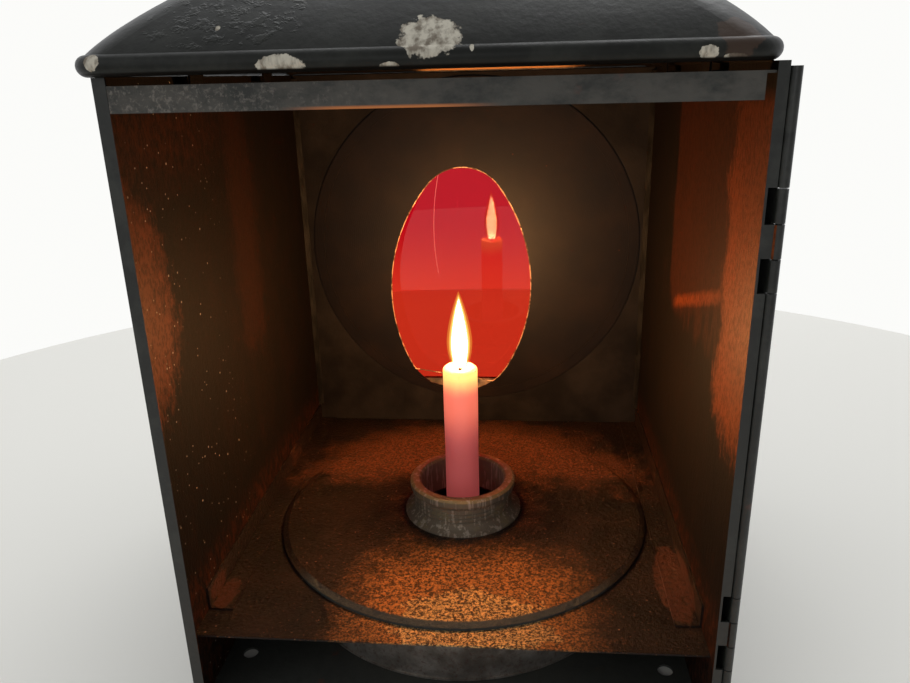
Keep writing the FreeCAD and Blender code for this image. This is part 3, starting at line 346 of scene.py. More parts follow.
def dress(material, *names):
    """Puts a material on every slot of the named nodes or pieces."""
    for name in names:
        piece = NODES.get(name) or bpy.data.objects[name]
        if not piece.material_slots:
            piece.data.materials.append(material)
        for slot in piece.material_slots:
            slot.material = material


# ---------------------------------------------------------------- japanned tinplate

def japan_coat(shader, wear=0.5, chips=None, rough=0.36, dust=0.0):
    """Old black japan: satin, faintly green-grey, scuffed, with dust and small chips.

    Returns its colour, roughness and height.
    """
    scuff = shader.noise(14 * MM, 5.0, 0.65, warp=0.4)
    fine = shader.noise(2.2 * MM, 4.0, 0.7)
    haze = shader.ramp(shader.add(scuff, shader.times(fine, 0.35)), 0.60, 0.86)
    haze = shader.most(shader.times(haze, wear), shader.times(fine, dust))
    colour = shader.mix(haze, JAPAN, JAPAN_GREY)
    nicks = shader.specks(9 * MM, 0.8 * MM, 0.08 * wear, shift=0.3)
    colour = shader.mix(shader.times(nicks, 0.5), colour, BARE_PAINT)
    rusty = shader.ramp(shader.noise(11 * MM, 4.0, 0.65, shift=2.3), 0.64, 0.74)
    colour = shader.mix(shader.times(rusty, 0.5 * wear), colour, RED_BROWN)
    orange_peel = shader.noise(2.4 * MM, 3.0, 0.6)
    dents = shader.noise(19 * MM, 2.0, 0.5, shift=0.7)
    height = shader.add(shader.times(orange_peel, 0.35), dents)
    if chips is not None:
        streaks = shader.noise(2.0 * MM, 4.0, 0.6, stretch=(1, 1, 0.35))
        shade = shader.mix(shader.ramp(streaks, 0.34, 0.62), CHIP_SHADE, BARE_PAINT)
        colour = shader.mix(chips, colour, shade)
        height = shader.add(height, shader.times(chips, -0.35))
    return colour, shader.blend(haze, rough, rough + 0.22), height


def exterior_japan(name, wear=0.5, rough=0.36, dust=0.0):
    shader = Shader(name)
    colour, gloss, height = japan_coat(shader, wear, None, rough, dust)
    return shader.set(
        Base_Color=colour,
        Roughness=gloss,
        Normal=shader.bump(height, 0.9 * MM, 0.5),
        IOR=1.5,
    )


def header_material():
    """Header: the japan is rubbed and dusty, more so towards its left end. Along the middle of its
    lower edge, an orange line is a painted highlight of the flame.
    """
    shader = Shader("header_japan")
    colour, gloss, height = japan_coat(shader, 0.9, None, 0.45, 0.6)
    cloud = shader.noise(9 * MM, 5.0, 0.7, stretch=(0.6, 1, 1), shift=0.4)
    scratch = shader.noise(1.3 * MM, 4.0, 0.75, shift=1.9)
    leftward = shader.ramp(shader.x, 10 * MM, -70 * MM)
    dusty = shader.ramp(cloud, 0.34, 0.62)
    colour = shader.mix(shader.times(dusty, 0.8), colour, HEADER_DUST)
    scrub = shader.times(shader.ramp(scratch, 0.50, 0.68), leftward, 0.8)
    colour = shader.mix(scrub, colour, HEADER_SCRUB)
    height = shader.add(height, shader.times(scratch, leftward, 0.6))
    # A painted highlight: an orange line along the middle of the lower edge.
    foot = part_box("header_strip")[0].z
    at_foot = shader.ramp(shader.z, foot + 0.9 * MM, foot + 0.3 * MM)
    rubbed_and_highlight = shader.times(at_foot, shader.band(shader.x, -26 * MM, 10 * MM, 9 * MM))
    return shader.set(
        Base_Color=shader.mix(rubbed_and_highlight, colour, HEADER_EDGE_HIGHLIGHT),
        Roughness=shader.blend(dusty, gloss, 0.65),
        Normal=shader.bump(height, 0.8 * MM, 0.6),
        IOR=1.5,
    )


def roof_lining(shader):
    """Inside of the roof: soot, with a ragged bright orange patch low on its far side, painted
    light standing in for the flame's glow seen through the vent gap.
    """
    patchy = shader.swing(shader.noise(12 * MM, 4.0, 0.65, shift=5.0), 30 * MM)
    # Painted light: the flame's glow on the lining, in orange.
    painted_vent_glow = shader.times(
        shader.band(shader.add(shader.x, patchy), -18 * MM, 44 * MM, 6 * MM),
        shader.ramp(shader.y, 20 * MM, 40 * MM),
        shader.ramp(shader.z, 193 * MM, 191 * MM),
    )
    return shader.mix(shader.times(painted_vent_glow, 0.9), SOOT, PAINTED_VENT_GLOW_ORANGE)


def roof_material():
    """Roof: the paint has flaked off along the front edge and blistered on the left."""
    shader = Shader("roof_japan")
    flaked = [
        shader.spot(place, 1.2, 3.2 * MM, 0.13 * index)
        for index, place in enumerate(ROOF_CHIPS)
    ]
    chips = shader.most(*flaked)
    colour, gloss, height = japan_coat(shader, 0.35, chips, 0.40)
    worn = shader.spot(ROOF_WORN_CORNER, 0.9, 4 * MM, 3.1)
    colour = shader.mix(shader.times(worn, 0.8), colour, WORN_CORNER_BROWN)
    blister = shader.spot(ROOF_BLISTER, 0.8, 9 * MM, 1.4)
    domes = shader.ramp(shader.noise(3.2 * MM, 3.0, 0.65), 0.48, 0.66)
    bubbles = shader.times(blister, domes)
    height = shader.add(height, shader.times(bubbles, 0.5))
    colour = shader.mix(shader.times(bubbles, 0.2), colour, JAPAN_GREY)
    outward = shader.add(shader.times(shader.x, shader.nx), shader.times(shader.y, shader.ny))
    facing_in = shader.ramp(outward, -4 * MM, -10 * MM)
    inner = shader.most(facing_in, shader.ramp(shader.nz, -0.55, -0.75))
    return shader.set(
        Base_Color=shader.mix(inner, colour, roof_lining(shader)),
        Specular_IOR_Level=shader.blend(inner, 0.22, 0.05),
        Roughness=shader.blend(chips, gloss, 0.8),
        Normal=shader.bump(height, 0.9 * MM, 0.35),
        IOR=1.5,
    )


# ---------------------------------------------------------------- inside of the box

def left_stains_and_highlight(shader, y, z, ragged):
    """Brown patches of the left wall: a strong one at the front, brown patina with the flame's
    highlight partly painted in, and a faint one in the middle.
    """
    # The front patch: brown patina, and partly a painted highlight where the flame's glare falls.
    front = shader.times(
        shader.ramp(y, -52 * MM, -84 * MM),
        shader.ramp(z, 84 * MM, 118 * MM),
        shader.ramp(z, 172 * MM, 132 * MM, 0.42, 1.0),
    )
    front = shader.ramp(shader.add(front, shader.times(ragged, 0.55)), 0.18, 0.72)
    front = shader.times(front, shader.ramp(z, 172 * MM, 134 * MM, 0.22, 0.55))
    middle = shader.times(
        shader.band(y, -14 * MM, 14 * MM, 14 * MM), shader.ramp(z, 62 * MM, 106 * MM)
    )
    middle = shader.ramp(shader.add(middle, shader.times(ragged, 0.7)), 0.30, 1.05)
    return [front, shader.times(middle, 0.065)]


def right_stains_and_highlight(shader, y, z, ragged, line):
    """Brown patches of the right wall, the front one partly a painted highlight, and a streak along
    `line` that is a painted highlight.
    """
    # The front patch: brown patina, and partly a painted highlight where the flame's glare falls.
    front = shader.times(shader.ramp(y, -46 * MM, -70 * MM), shader.ramp(z, 78 * MM, 108 * MM))
    front = shader.ramp(shader.add(front, shader.times(ragged, 0.55)), 0.18, 0.72)
    front = shader.times(front, shader.ramp(z, 176 * MM, 138 * MM, 0.45, 1.0))
    middle = shader.times(
        shader.ramp(shader.y, 21 * MM, 15 * MM), shader.ramp(z, 98 * MM, 112 * MM)
    )
    middle = shader.ramp(shader.add(middle, shader.times(ragged, 0.7)), 0.30, 1.05)
    # Painted highlight: a diagonal streak of brown along `line`.
    highlight_streak = shader.band(line, -2.0 * MM, 2.4 * MM, 1.8 * MM)
    highlight_streak = shader.times(highlight_streak, shader.band(shader.y, -58 * MM, 6 * MM, 6 * MM), 0.75)
    return [front, shader.times(middle, 0.15), highlight_streak]


def wall_material(name, side):
    """Side wall: browned and sooted inside, with part of the flame's highlight painted in as brown;
    black japan outside and along the folded edge.
    """
    shader = Shader(name)
    upright = (1, 1, 0.5)
    flecks = shader.noise(0.9 * MM, 4.0, 0.70, upright, 0.2 * side)
    grains = shader.swing(shader.noise(2.2 * MM, 6.0, 0.80, upright, side), 2.4)
    clumps = shader.swing(shader.noise(9 * MM, 5.0, 0.70, upright, 1.7), 1.2)
    ragged = shader.add(grains, clumps)
    drift = shader.swing(shader.noise(24 * MM, 3.0, 0.5, shift=0.4 + side), 22 * MM)
    y = shader.add(shader.y, drift)
    z = shader.add(shader.z, drift)
    if side < 0:
        stains_and_highlight = left_stains_and_highlight(shader, y, z, ragged)
    else:
        slope = shader.times(shader.y, 0.31)
        line = shader.add(shader.z, slope, -109.5 * MM, shader.times(grains, 1.2 * MM))
        stains_and_highlight = right_stains_and_highlight(shader, y, z, ragged, line)
    foot = shader.times(
        shader.ramp(shader.z, 50 * MM, 34 * MM), shader.ramp(grains, -0.3, 0.5), 0.30
    )
    top = shader.times(
        shader.ramp(shader.z, 150 * MM, 174 * MM),
        shader.ramp(shader.y, 10 * MM, -60 * MM),
        shader.ramp(grains, -0.5, 0.4),
        0.20,
    )
    smoky = shader.ramp(shader.add(clumps, shader.times(grains, 0.4)), -0.2, 0.9)
    brown_and_highlight = shader.times(
        shader.most(*stains_and_highlight, foot, top, shader.times(smoky, 0.07)),
        shader.ramp(shader.z, 184 * MM, 178 * MM),
        shader.ramp(flecks, 0.38, 0.56, 0.50, 1.0),
    )
    if side > 0:
        runs = shader.noise(2.4 * MM, 3.0, 0.6, (1, 1, 0.08), 2.0)
        drips = shader.times(
            shader.band(line, -24 * MM, -3 * MM, 4 * MM),
            shader.band(shader.y, -58 * MM, 6 * MM, 6 * MM),
            shader.ramp(runs, 0.42, 0.58),
        )
        brown_and_highlight = shader.times(brown_and_highlight, shader.invert(shader.times(drips, 0.9)))
    inside = shader.mix(brown_and_highlight, SOOT, RUST_BROWN)
    small = shader.specks(3.0 * MM, 0.30 * MM, 0.30, 0.9 * side)
    white = shader.most(small, shader.specks(6 * MM, 0.42 * MM, 0.25))
    white = shader.times(white, shader.band(shader.y, -78 * MM, -28 * MM, 14 * MM), 0.55)
    inside = shader.mix(white, inside, BARE_PAINT)
    streaks = shader.noise(2.6 * MM, 3.0, 0.6, (1, 1, 0.06), 1.1)
    height_in = shader.add(
        shader.times(flecks, 0.5), shader.times(grains, 0.12), shader.times(streaks, 0.25)
    )
    colour, gloss, height = japan_coat(shader, 0.7, None, 0.40, 0.45)
    is_inside = shader.calc("GREATER_THAN", shader.times(shader.nx, -side), 0.6)
    return shader.set(
        Base_Color=shader.mix(is_inside, colour, inside),
        Specular_IOR_Level=shader.blend(is_inside, 0.5, shader.blend(brown_and_highlight, 0.07, 0.10)),
        Roughness=shader.blend(is_inside, gloss, shader.blend(brown_and_highlight, 0.66, 0.42)),
        Normal=shader.bump(shader.blend(is_inside, height, height_in), 0.45 * MM, 0.8),
        IOR=1.5,
    )


def far_wall_material():
    """Window wall: dull grey-black soot inside, black japan outside."""
    shader = Shader("far_wall")
    stain = shader.noise(30 * MM, 4.0, 0.6)
    fine = shader.noise(1.5 * MM, 4.0, 0.7)
    inside = shader.mix(shader.ramp(stain, 0.35, 0.7), SOOT, FAR_WALL_GREY)
    colour, gloss, height = japan_coat(shader, 0.6)
    is_inside = shader.calc("LESS_THAN", shader.ny, -0.5)
    rough_in = shader.add(0.50, shader.times(fine, 0.2))
    height = shader.blend(is_inside, height, shader.times(fine, 0.4))
    return shader.set(
        Base_Color=shader.mix(is_inside, colour, inside),
        Specular_IOR_Level=shader.blend(is_inside, 0.5, 0.16),
        Roughness=shader.blend(is_inside, gloss, rough_in),
        Normal=shader.bump(height, 0.5 * MM, 0.6),
    )


def disc_material():
    """Spun tinplate under soot: fine rings, and a bare cut edge round the opening."""
    shader = Shader("spun_disc")
    low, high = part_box("window_disc")
    centre = (low + high) / 2
    across = shader.add(shader.x, -centre.x)
    up = shader.add(shader.z, -centre.z)
    radius = shader.distance(across, up)
    rings = shader.calc("SINE", shader.times(radius, 2 * math.pi / (0.9 * MM)))
    stain = shader.noise(26 * MM, 4.0, 0.6)
    fine = shader.noise(1.2 * MM, 4.0, 0.7)
    soot = shader.mix(shader.ramp(stain, 0.35, 0.75), DISC_SOOT, DISC_SMOKE)
    dots = shader.specks(8 * MM, 0.4 * MM, 0.25, shift=0.2)
    soot = shader.mix(shader.times(dots, 0.4), soot, RUST_BROWN)
    flat = shader.calc("GREATER_THAN", shader.calc("ABSOLUTE", shader.ny), 0.5)
    near = shader.calc("LESS_THAN", radius, OPENING_REACH)
    at_edge = shader.times(shader.invert(flat), near)
    nibble = shader.ramp(shader.noise(3.0 * MM, 3.0, 0.6), 0.35, 0.6)
    edge_colour = shader.mix(nibble, CUT_TIN_DARK, CUT_TIN)
    outer = shader.calc("GREATER_THAN", shader.ny, 0.5)
    colour, gloss, _ = japan_coat(shader, 0.6)
    rough_in = shader.add(0.42, shader.times(fine, 0.15))
    return shader.set(
        Base_Color=shader.mix(at_edge, shader.mix(outer, soot, colour), edge_colour),
        Metallic=shader.times(shader.invert(outer), 0.12),
        Specular_IOR_Level=shader.blend(outer, 0.25, 0.5),
        Roughness=shader.blend(outer, rough_in, gloss),
        Normal=shader.bump(shader.add(shader.times(rings, 0.10), fine), 0.10 * MM, 0.5),
    )


def floor_crust(shader, grain, crust, patch, radius):
    """Colour of the floor's crust: dark, rusty behind the font, with pits, and painted glints and
    sparkles.
    """
    stain = shader.noise(24 * MM, 5.0, 0.68, warp=0.6)
    pits = shader.specks(7 * MM, 1.0 * MM, 0.35, shift=0.5)
    behind = shader.times(
        shader.ramp(shader.y, -10 * MM, 34 * MM), shader.ramp(radius, 104 * MM, 56 * MM)
    )
    near = shader.times(shader.ramp(radius, 42 * MM, 22 * MM), 0.4)
    rust = shader.ramp(shader.add(shader.most(behind, near), patch), 0.20, 0.95)
    colour = shader.mix(shader.ramp(stain, 0.40, 0.62), CRUST_BLACK, CRUST_BROWN)
    flake = shader.ramp(grain, 0.44, 0.60)
    rust = shader.times(rust, shader.add(0.18, shader.times(flake, 0.82)))
    colour = shader.mix(rust, colour, CRUST_RUST)
    colour = shader.mix(pits, colour, SOOT)
    # Painted glints and sparkles: bright specks in the colour stand in for the flame's glitter.
    glints = shader.times(shader.ramp(grain, 0.60, 0.66), shader.ramp(crust, 0.46, 0.56))
    colour = shader.mix(shader.times(glints, 0.9), colour, CRUST_GLINT)
    sparkle_glints = shader.specks(2.6 * MM, 0.34 * MM, 0.22, shift=1.7)
    colour = shader.mix(shader.times(sparkle_glints, 0.8), colour, CRUST_SPARKLE_GLINT)
    return colour, stain, pits


def golden_front_and_highlight(shader, colour, grain, crust, patch):
    """The crust in front of the font: golden glitter, partly a painted highlight of the flame, with
    a painted hot spot. Returns its colour and share.
    """
    sideways = shader.calc("ABSOLUTE", shader.add(shader.x, -6 * MM))
    forward = shader.times(
        shader.ramp(shader.y, -14 * MM, -62 * MM), shader.ramp(sideways, 58 * MM, 10 * MM)
    )
    forward = shader.ramp(shader.add(forward, shader.times(patch, 0.5)), 0.10, 0.85)
    # Brown and gilt in front are partly a painted highlight of the flame.
    colour = shader.mix(shader.times(forward, 0.7), colour, FRONT_BROWN_AND_HIGHLIGHT)
    # A painted hot spot of the flame's highlight.
    hot_highlight = shader.spot(HOT_HIGHLIGHT_SPOT, 1.6, 6 * MM, 2.2)
    clumped = shader.add(shader.times(grain, 0.65), shader.times(crust, 0.35))
    gilt_and_highlight = shader.times(forward, shader.ramp(clumped, 0.45, 0.57))
    gold_and_highlight = shader.mix(shader.times(hot_highlight, 0.8), GILT_AND_HIGHLIGHT, HOT_HIGHLIGHT)
    return shader.mix(gilt_and_highlight, colour, gold_and_highlight), gilt_and_highlight


def crusted_floor(name, edge_radius=None):
    """Lamp floor: dark brown, with a fine hard crust of burnt oil that glitters in the light,
    partly with painted glints and a painted highlight in front.

    With `edge_radius`, the raised font top's edge is grey at the front, a painted reflection of the
    room's light. Without it, the floor angles' ends are rusty.
    """
    shader = Shader(name)
    grain = shader.noise(0.8 * MM, 4.0, 0.70)
    crust = shader.noise(1.7 * MM, 5.0, 0.75, shift=0.8)
    lumps = shader.cells(1.5 * MM, feature="SMOOTH_F1")
    patch = shader.swing(shader.noise(11 * MM, 7.0, 0.78, shift=3.0), 2.2)
    low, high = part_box("font_top")
    radius = shader.distance(shader.x, shader.add(shader.y, -(low.y + high.y) / 2))
    colour, stain, pits = floor_crust(shader, grain, crust, patch, radius)
    colour, gilt_and_highlight = golden_front_and_highlight(shader, colour, grain, crust, patch)
    metal = shader.add(0.10, shader.times(gilt_and_highlight, 0.6))
    if edge_radius is not None:
        worn = shader.band(radius, edge_radius - 1.2 * MM, edge_radius + 3 * MM, 0.4 * MM)
        # Painted reflection: grey of the room's light on the front of the edge.
        front_reflection = shader.times(shader.ramp(shader.y, -48 * MM, -56 * MM), worn)
        colour = shader.mix(front_reflection, colour, shader.mix(crust, RIM_REFLECTION_DARK, RIM_REFLECTION_GREY))
        metal = shader.times(metal, shader.invert(worn))
    else:
        for place in RUSTY_ANGLE_ENDS:
            rusty = shader.spot(place, 0.7, 5 * MM, 0.6)
            rusty = shader.times(rusty, shader.ramp(crust, 0.30, 0.55), 0.9)
            colour = shader.mix(rusty, colour, ANGLE_RUST)
    height = shader.add(
        crust, shader.times(grain, 0.6), shader.times(lumps, 0.5), shader.times(pits, -0.4)
    )
    return shader.set(
        Base_Color=colour,
        Metallic=metal,
        Specular_IOR_Level=0.30,
        Roughness=shader.add(0.26, shader.times(stain, 0.24)),
        Normal=shader.bump(height, 1.0 * MM, 1.0),
    )


# ---------------------------------------------------------------- bare metals and soot

def old_tin(name, dull=0.5, rough=0.38, shine=TIN, metal=0.85):
    shader = Shader(name)
    spangle = shader.noise(9 * MM, 3.0, 0.6, warp=0.8)
    stain = shader.noise(16 * MM, 5.0, 0.65, shift=0.6)
    fine = shader.noise(1.3 * MM, 4.0, 0.7)
    colour = shader.mix(shader.ramp(stain, 0.35, 0.7), TIN_DULL, shine)
    return shader.set(
        Base_Color=shader.mix(shader.times(shader.ramp(fine, 0.5, 0.7), dull), colour, RED_BROWN),
        Metallic=metal,
        Roughness=shader.add(rough, shader.times(spangle, 0.2)),
        Normal=shader.bump(shader.add(fine, spangle), 0.15 * MM, 0.5),
    )


def solder_material():
    shader = Shader("dull_solder")
    lumps = shader.noise(5 * MM, 3.0, 0.6, stretch=(1, 1, 0.4))
    fine = shader.noise(1.2 * MM, 3.0, 0.6)
    return shader.set(
        Base_Color=shader.mix(shader.ramp(lumps, 0.40, 0.62), SOLDER_DARK, SOLDER),
        Metallic=0.2,
        Specular_IOR_Level=0.2,
        Roughness=0.55,
        Normal=shader.bump(shader.add(lumps, shader.times(fine, 0.3)), 0.6 * MM, 0.8),
    )


def burr_material():
    """Bare tin, heat-tinted to peach, with nibbled dark places."""
    shader = Shader("bare_burr")
    nibble = shader.ramp(shader.noise(3.5 * MM, 4.0, 0.7), 0.42, 0.58)
    return shader.set(
        Base_Color=shader.mix(nibble, BURR_DARK, BURR),
        Metallic=0.25,
        Roughness=shader.blend(nibble, 0.6, 0.3),
        Normal=shader.bump(shader.noise(0.7 * MM, 2.0, 0.6), 0.1 * MM, 0.6),
    )


def soot_material():
    """Dull lamp soot, caked into fine grains."""
    shader = Shader("lamp_soot")
    grain = shader.noise(0.8 * MM, 4.0, 0.7)
    return shader.set(
        Base_Color=shader.mix(shader.ramp(grain, 0.5, 0.7), CAKED_SOOT, CAKED_SOOT_GREY),
        Specular_IOR_Level=0.1,
        Roughness=shader.blend(grain, 0.7, 0.95),
        Normal=shader.bump(grain, 0.3 * MM, 0.8),
    )


def wire_material():
    shader = Shader("blackened_iron")
    scale = shader.noise(2.0 * MM, 4.0, 0.7)
    rub = shader.ramp(shader.noise(8 * MM, 3.0, 0.6), 0.55, 0.75)
    colour = shader.mix(rub, IRON, IRON_RUBBED)
    return shader.set(
        Base_Color=shader.mix(shader.ramp(scale, 0.60, 0.72), colour, RED_BROWN),
        Metallic=0.7,
        Roughness=shader.add(0.34, shader.times(scale, 0.25)),
        Normal=shader.bump(scale, 0.12 * MM, 0.6),
    )


def collar_material():
    """Tarnished brass: dark on the outside, rubbed bright on the rim, with upright scratches."""
    shader = Shader("tarnished_brass")
    low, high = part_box("burner_collar")
    scratch = shader.noise(1.4 * MM, 3.0, 0.6, stretch=(1, 1, 0.12))
    patch = shader.noise(7 * MM, 4.0, 0.65)
    rim = shader.ramp(shader.z, high.z - 1.6 * MM, high.z - 0.4 * MM)
    patches = shader.times(shader.ramp(patch, 0.5, 0.68), 0.55)
    rubbed_and_highlight = shader.most(shader.times(rim, 0.85), patches)
    colour = shader.mix(rubbed_and_highlight, BRASS_DARK, BRASS)
    return shader.set(
        Base_Color=shader.mix(shader.ramp(scratch, 0.52, 0.64), colour, BRASS_SCRATCH),
        Metallic=0.55,
        Roughness=shader.add(0.42, shader.times(patch, 0.25)),
        Normal=shader.bump(shader.add(scratch, shader.times(patch, 0.6)), 0.25 * MM, 0.7),
    )


# ---------------------------------------------------------------- glass, candle, handle

def ruby_material():
    """Ruby glass, with a hairline crack in a long curve and a few wiping scratches. Lower down it
    is a lighter orange-red, a painted glow of the flame.

    The real pane leans a little in its rails, so the shading normal leans here.
    """
    shader = Shader("ruby_glass")
    across = shader.add(shader.x, -CRACK_MIDDLE_X)
    up = shader.times(shader.add(shader.z, -CRACK_MIDDLE_Z), CRACK_STRETCH)
    from_crack = shader.add(shader.distance(across, up), -CRACK_RADIUS)
    crack = shader.times(
        shader.ramp(shader.calc("ABSOLUTE", from_crack), 0.24 * MM, 0.08 * MM),
        shader.band(shader.z, 96 * MM, 152 * MM, 4 * MM),
        shader.ramp(shader.x, 0.0, -6 * MM),
    )
    scratches = shader.noise(1.0 * MM, 2.0, 0.5, stretch=(1, 1, 0.05), shift=0.9)
    mark = shader.most(crack, shader.times(shader.ramp(scratches, 0.74, 0.80), 0.25))
    smear = shader.ramp(shader.noise(20 * MM, 4.0, 0.6, stretch=(1, 1, 0.5)), 0.55, 0.8)
    # Painted glow: the glass turns lighter and warmer below, for the flame's glow.
    body = shader.mix(shader.ramp(shader.z, 128 * MM, 78 * MM), RUBY, RUBY_PAINTED_GLOW)
    lean = shader.add(shader.times(shader.z, -GLASS_LEAN), shader.times(shader.x, -GLASS_TWIST))
    return shader.set(
        Base_Color=shader.mix(shader.times(mark, 0.7), body, RUBY_MARK),
        Roughness=shader.add(0.01, shader.times(mark, 0.3), shader.times(smear, 0.03)),
        IOR=1.5,
        Specular_IOR_Level=0.22,
        Transmission_Weight=1.0,
        Normal=shader.bump(shader.times(lean, shader.ny), 1.0),
    )


def wax_material():
    """Pink wax that glows yellow under the flame and turns to deep pink lower down."""
    shader = Shader("pink_wax")
    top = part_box("candle")[1].z
    mottle = shader.noise(9 * MM, 3.0, 0.6)
    drift = shader.swing(mottle, 2.5 * MM)
    depth = shader.add(top, shader.times(shader.z, -1.0), drift)
    low = shader.mix(shader.ramp(depth, 14 * MM, 32 * MM), WAX_PINK_GLOW, WAX_DEEP_GLOW)
    upper = shader.ramp(depth, 0.0, 15 * MM, 1.35, 0.95)
    # Painted light: the wax's glow is emission, strongest under the flame and falling lower down.
    strength = shader.add(upper, shader.ramp(depth, 13 * MM, 38 * MM, 0.0, -0.55))
    shader.surface.inputs["Subsurface Radius"].default_value = (1.0, 0.35, 0.25)
    return shader.set(
        Base_Color=WAX,
        Roughness=0.38,
        Subsurface_Weight=0.5,
        Subsurface_Scale=2.0 * MM,
        Emission_Color=shader.mix(shader.ramp(depth, 1.0 * MM, 11 * MM), WAX_YELLOW_GLOW, low),
        Emission_Strength=strength,
        Normal=shader.bump(mottle, 0.25 * MM, 0.4),
    )


def wax_foot_material():
    shader = Shader("set_wax")
    ripple = shader.noise(4 * MM, 3.0, 0.6)
    return shader.set(
        Base_Color=shader.mix(shader.ramp(ripple, 0.35, 0.7), SET_WAX_DEEP, SET_WAX),
        Roughness=0.35,
        Subsurface_Weight=0.4,
        Subsurface_Scale=1.5 * MM,
        Normal=shader.bump(ripple, 0.5 * MM, 0.6),
    )


def wick_material():
    """Charred strands, with an ember at the tip."""
    shader = Shader("charred_wick")
    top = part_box("candle_wick")[1].z
    strands = shader.noise(0.5 * MM, 3.0, 0.7, stretch=(1, 1, 0.4))
    ember = shader.ramp(shader.z, top - 1.8 * MM, top)
    return shader.set(
        Base_Color=WICK,
        Roughness=0.9,
        Emission_Color=EMBER,
        Emission_Strength=shader.times(ember, shader.ramp(strands, 0.4, 0.6), 2.5),
        Normal=shader.bump(strands, 0.2 * MM, 0.8),
    )


def wood_material():
    shader = Shader("ebonised_beech")
    grain = shader.noise(1.6 * MM, 4.0, 0.65, stretch=(0.06, 1, 1))
    worn = shader.ramp(shader.noise(13 * MM, 3.0, 0.6), 0.45, 0.7)
    dark = shader.mix(shader.ramp(grain, 0.4, 0.65), BEECH_BLACK, BEECH_DARK)
    return shader.set(
        Base_Color=shader.mix(shader.times(worn, 0.6), dark, BEECH_WORN),
        Roughness=shader.add(0.36, shader.times(grain, 0.2)),
        Normal=shader.bump(grain, 0.18 * MM, 0.6),
    )


def flame_material(name, colour, strength, alpha):
    """One shell of the flame, fading out at its foot."""
    shader = Shader(name)
    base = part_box("candle")[1].z
    foot = shader.ramp(shader.add(shader.z, -base), 0.0, 5 * MM, 0.35, 1.0)
    return shader.set(
        Base_Color=(0.0, 0.0, 0.0),
        Roughness=1.0,
        Specular_IOR_Level=0.0,
        Emission_Color=colour,
        Emission_Strength=strength,
        Alpha=shader.times(foot, alpha),
    )


# ---------------------------------------------------------------- new pieces

def lathe(name, profile, axis_x, axis_y, turns=64, bend=None):
    """A closed turned mesh; the profile is (radius, height) pairs from one pole to the other."""
    mesh = bpy.data.meshes.new(name)
    shape = bmesh.new()
    rings = []
    for radius, height in profile:
        shift_x, shift_y = bend(height) if bend else (0.0, 0.0)
        centre_x = axis_x + shift_x
        centre_y = axis_y + shift_y
        if radius == 0:
            rings.append([shape.verts.new((centre_x, centre_y, height))])
            continue
        ring = []
        for step in range(turns):
            angle = 2 * math.pi * step / turns
            across = centre_x + radius * math.cos(angle)
            deep = centre_y + radius * math.sin(angle)
            ring.append(shape.verts.new((across, deep, height)))
        rings.append(ring)
    for low, high in zip(rings, rings[1:]):
        for step in range(turns):
            after = (step + 1) % turns
            if len(low) == 1:
                shape.faces.new((low[0], high[after], high[step]))
            elif len(high) == 1:
                shape.faces.new((low[step], low[after], high[0]))
            else:
                shape.faces.new((low[step], low[after], high[after], high[step]))
    bmesh.ops.recalc_face_normals(shape, faces=shape.faces)
    shape.to_mesh(mesh)
    shape.free()
    for polygon in mesh.polygons:
        polygon.use_smooth = True
    piece = bpy.data.objects.new(name, mesh)
    bpy.context.scene.collection.objects.link(piece)
    return piece


def flame_profile(widest, start, length):
    """A still candle flame: round below, widest a third of the way up, drawn out to a point."""
    profile = [(0.0, start)]
    steps = 48
    for step in range(1, steps):
        share = step / steps
        if share < FLAME_WIDEST_AT:
            radius = widest * (0.66 + 0.34 * math.sin(math.pi / 2 * share / FLAME_WIDEST_AT))
        else:
            rest = (share - FLAME_WIDEST_AT) / (1 - FLAME_WIDEST_AT)
            radius = widest * (1.0 - rest ** 1.55) ** 0.95
        profile.append((radius, start + share * length))
    profile.append((0.0, start + length))
    return profile


def make_flame():
    """Nested shells, white-hot inside and orange outside, and small lamps stacked in them."""
    low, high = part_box("candle_wick")
    middle = (low + high) / 2
    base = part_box("candle")[1].z - FLAME_FOOT
    for name, widest, length, colour, strength, alpha in FLAME_SHELLS:
        shell = lathe(name, flame_profile(widest * MM, base, length * MM), middle.x, middle.y)
        dress(flame_material(name, colour, strength, alpha), name)
        shell.visible_shadow = False
        shell.visible_diffuse = False
        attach(shell, "candle")
    for index, (share, radius, power) in enumerate(FLAME_LAMPS):
        light = bpy.data.lights.new(f"flame_light_{index}", "POINT")
        light.color = FLAME_LIGHT
        light.energy = FLAME_POWER * power
        light.shadow_soft_size = radius * MM
        lamp = bpy.data.objects.new(f"flame_light_{index}", light)
        lamp.location = (middle.x, middle.y, base + share * FLAME_HEIGHT)
        bpy.context.scene.collection.objects.link(lamp)
        lamp.visible_camera = False
        lamp.parent = frame["bodies"]["candle"]


def make_wick():
    """A bent, charred wick in place of the straight one."""
    low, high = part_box("candle_wick")
    middle = (low + high) / 2
    long = high.z - low.z
    start = low.z + 0.45 * long
    thick = 0.62 * MM

    def bend(height):
        share = max(0.0, (height - start) / (high.z - start))
        return 0.0, -0.5 * MM * share * share

    steps = 24
    profile = [(0.0, low.z)]
    for step in range(steps + 1):
        share = step / steps
        radius = thick * (1 - 0.25 * share) + 0.06 * MM * math.sin(9 * share * math.pi)
        profile.append((radius, low.z + share * (long - 0.3 * MM)))
    profile.append((0.0, high.z))
    piece = lathe("bent_wick", profile, middle.x, middle.y, 20, bend)
    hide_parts("candle_wick")
    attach(piece, "candle")
    dress(wick_material(), "bent_wick")


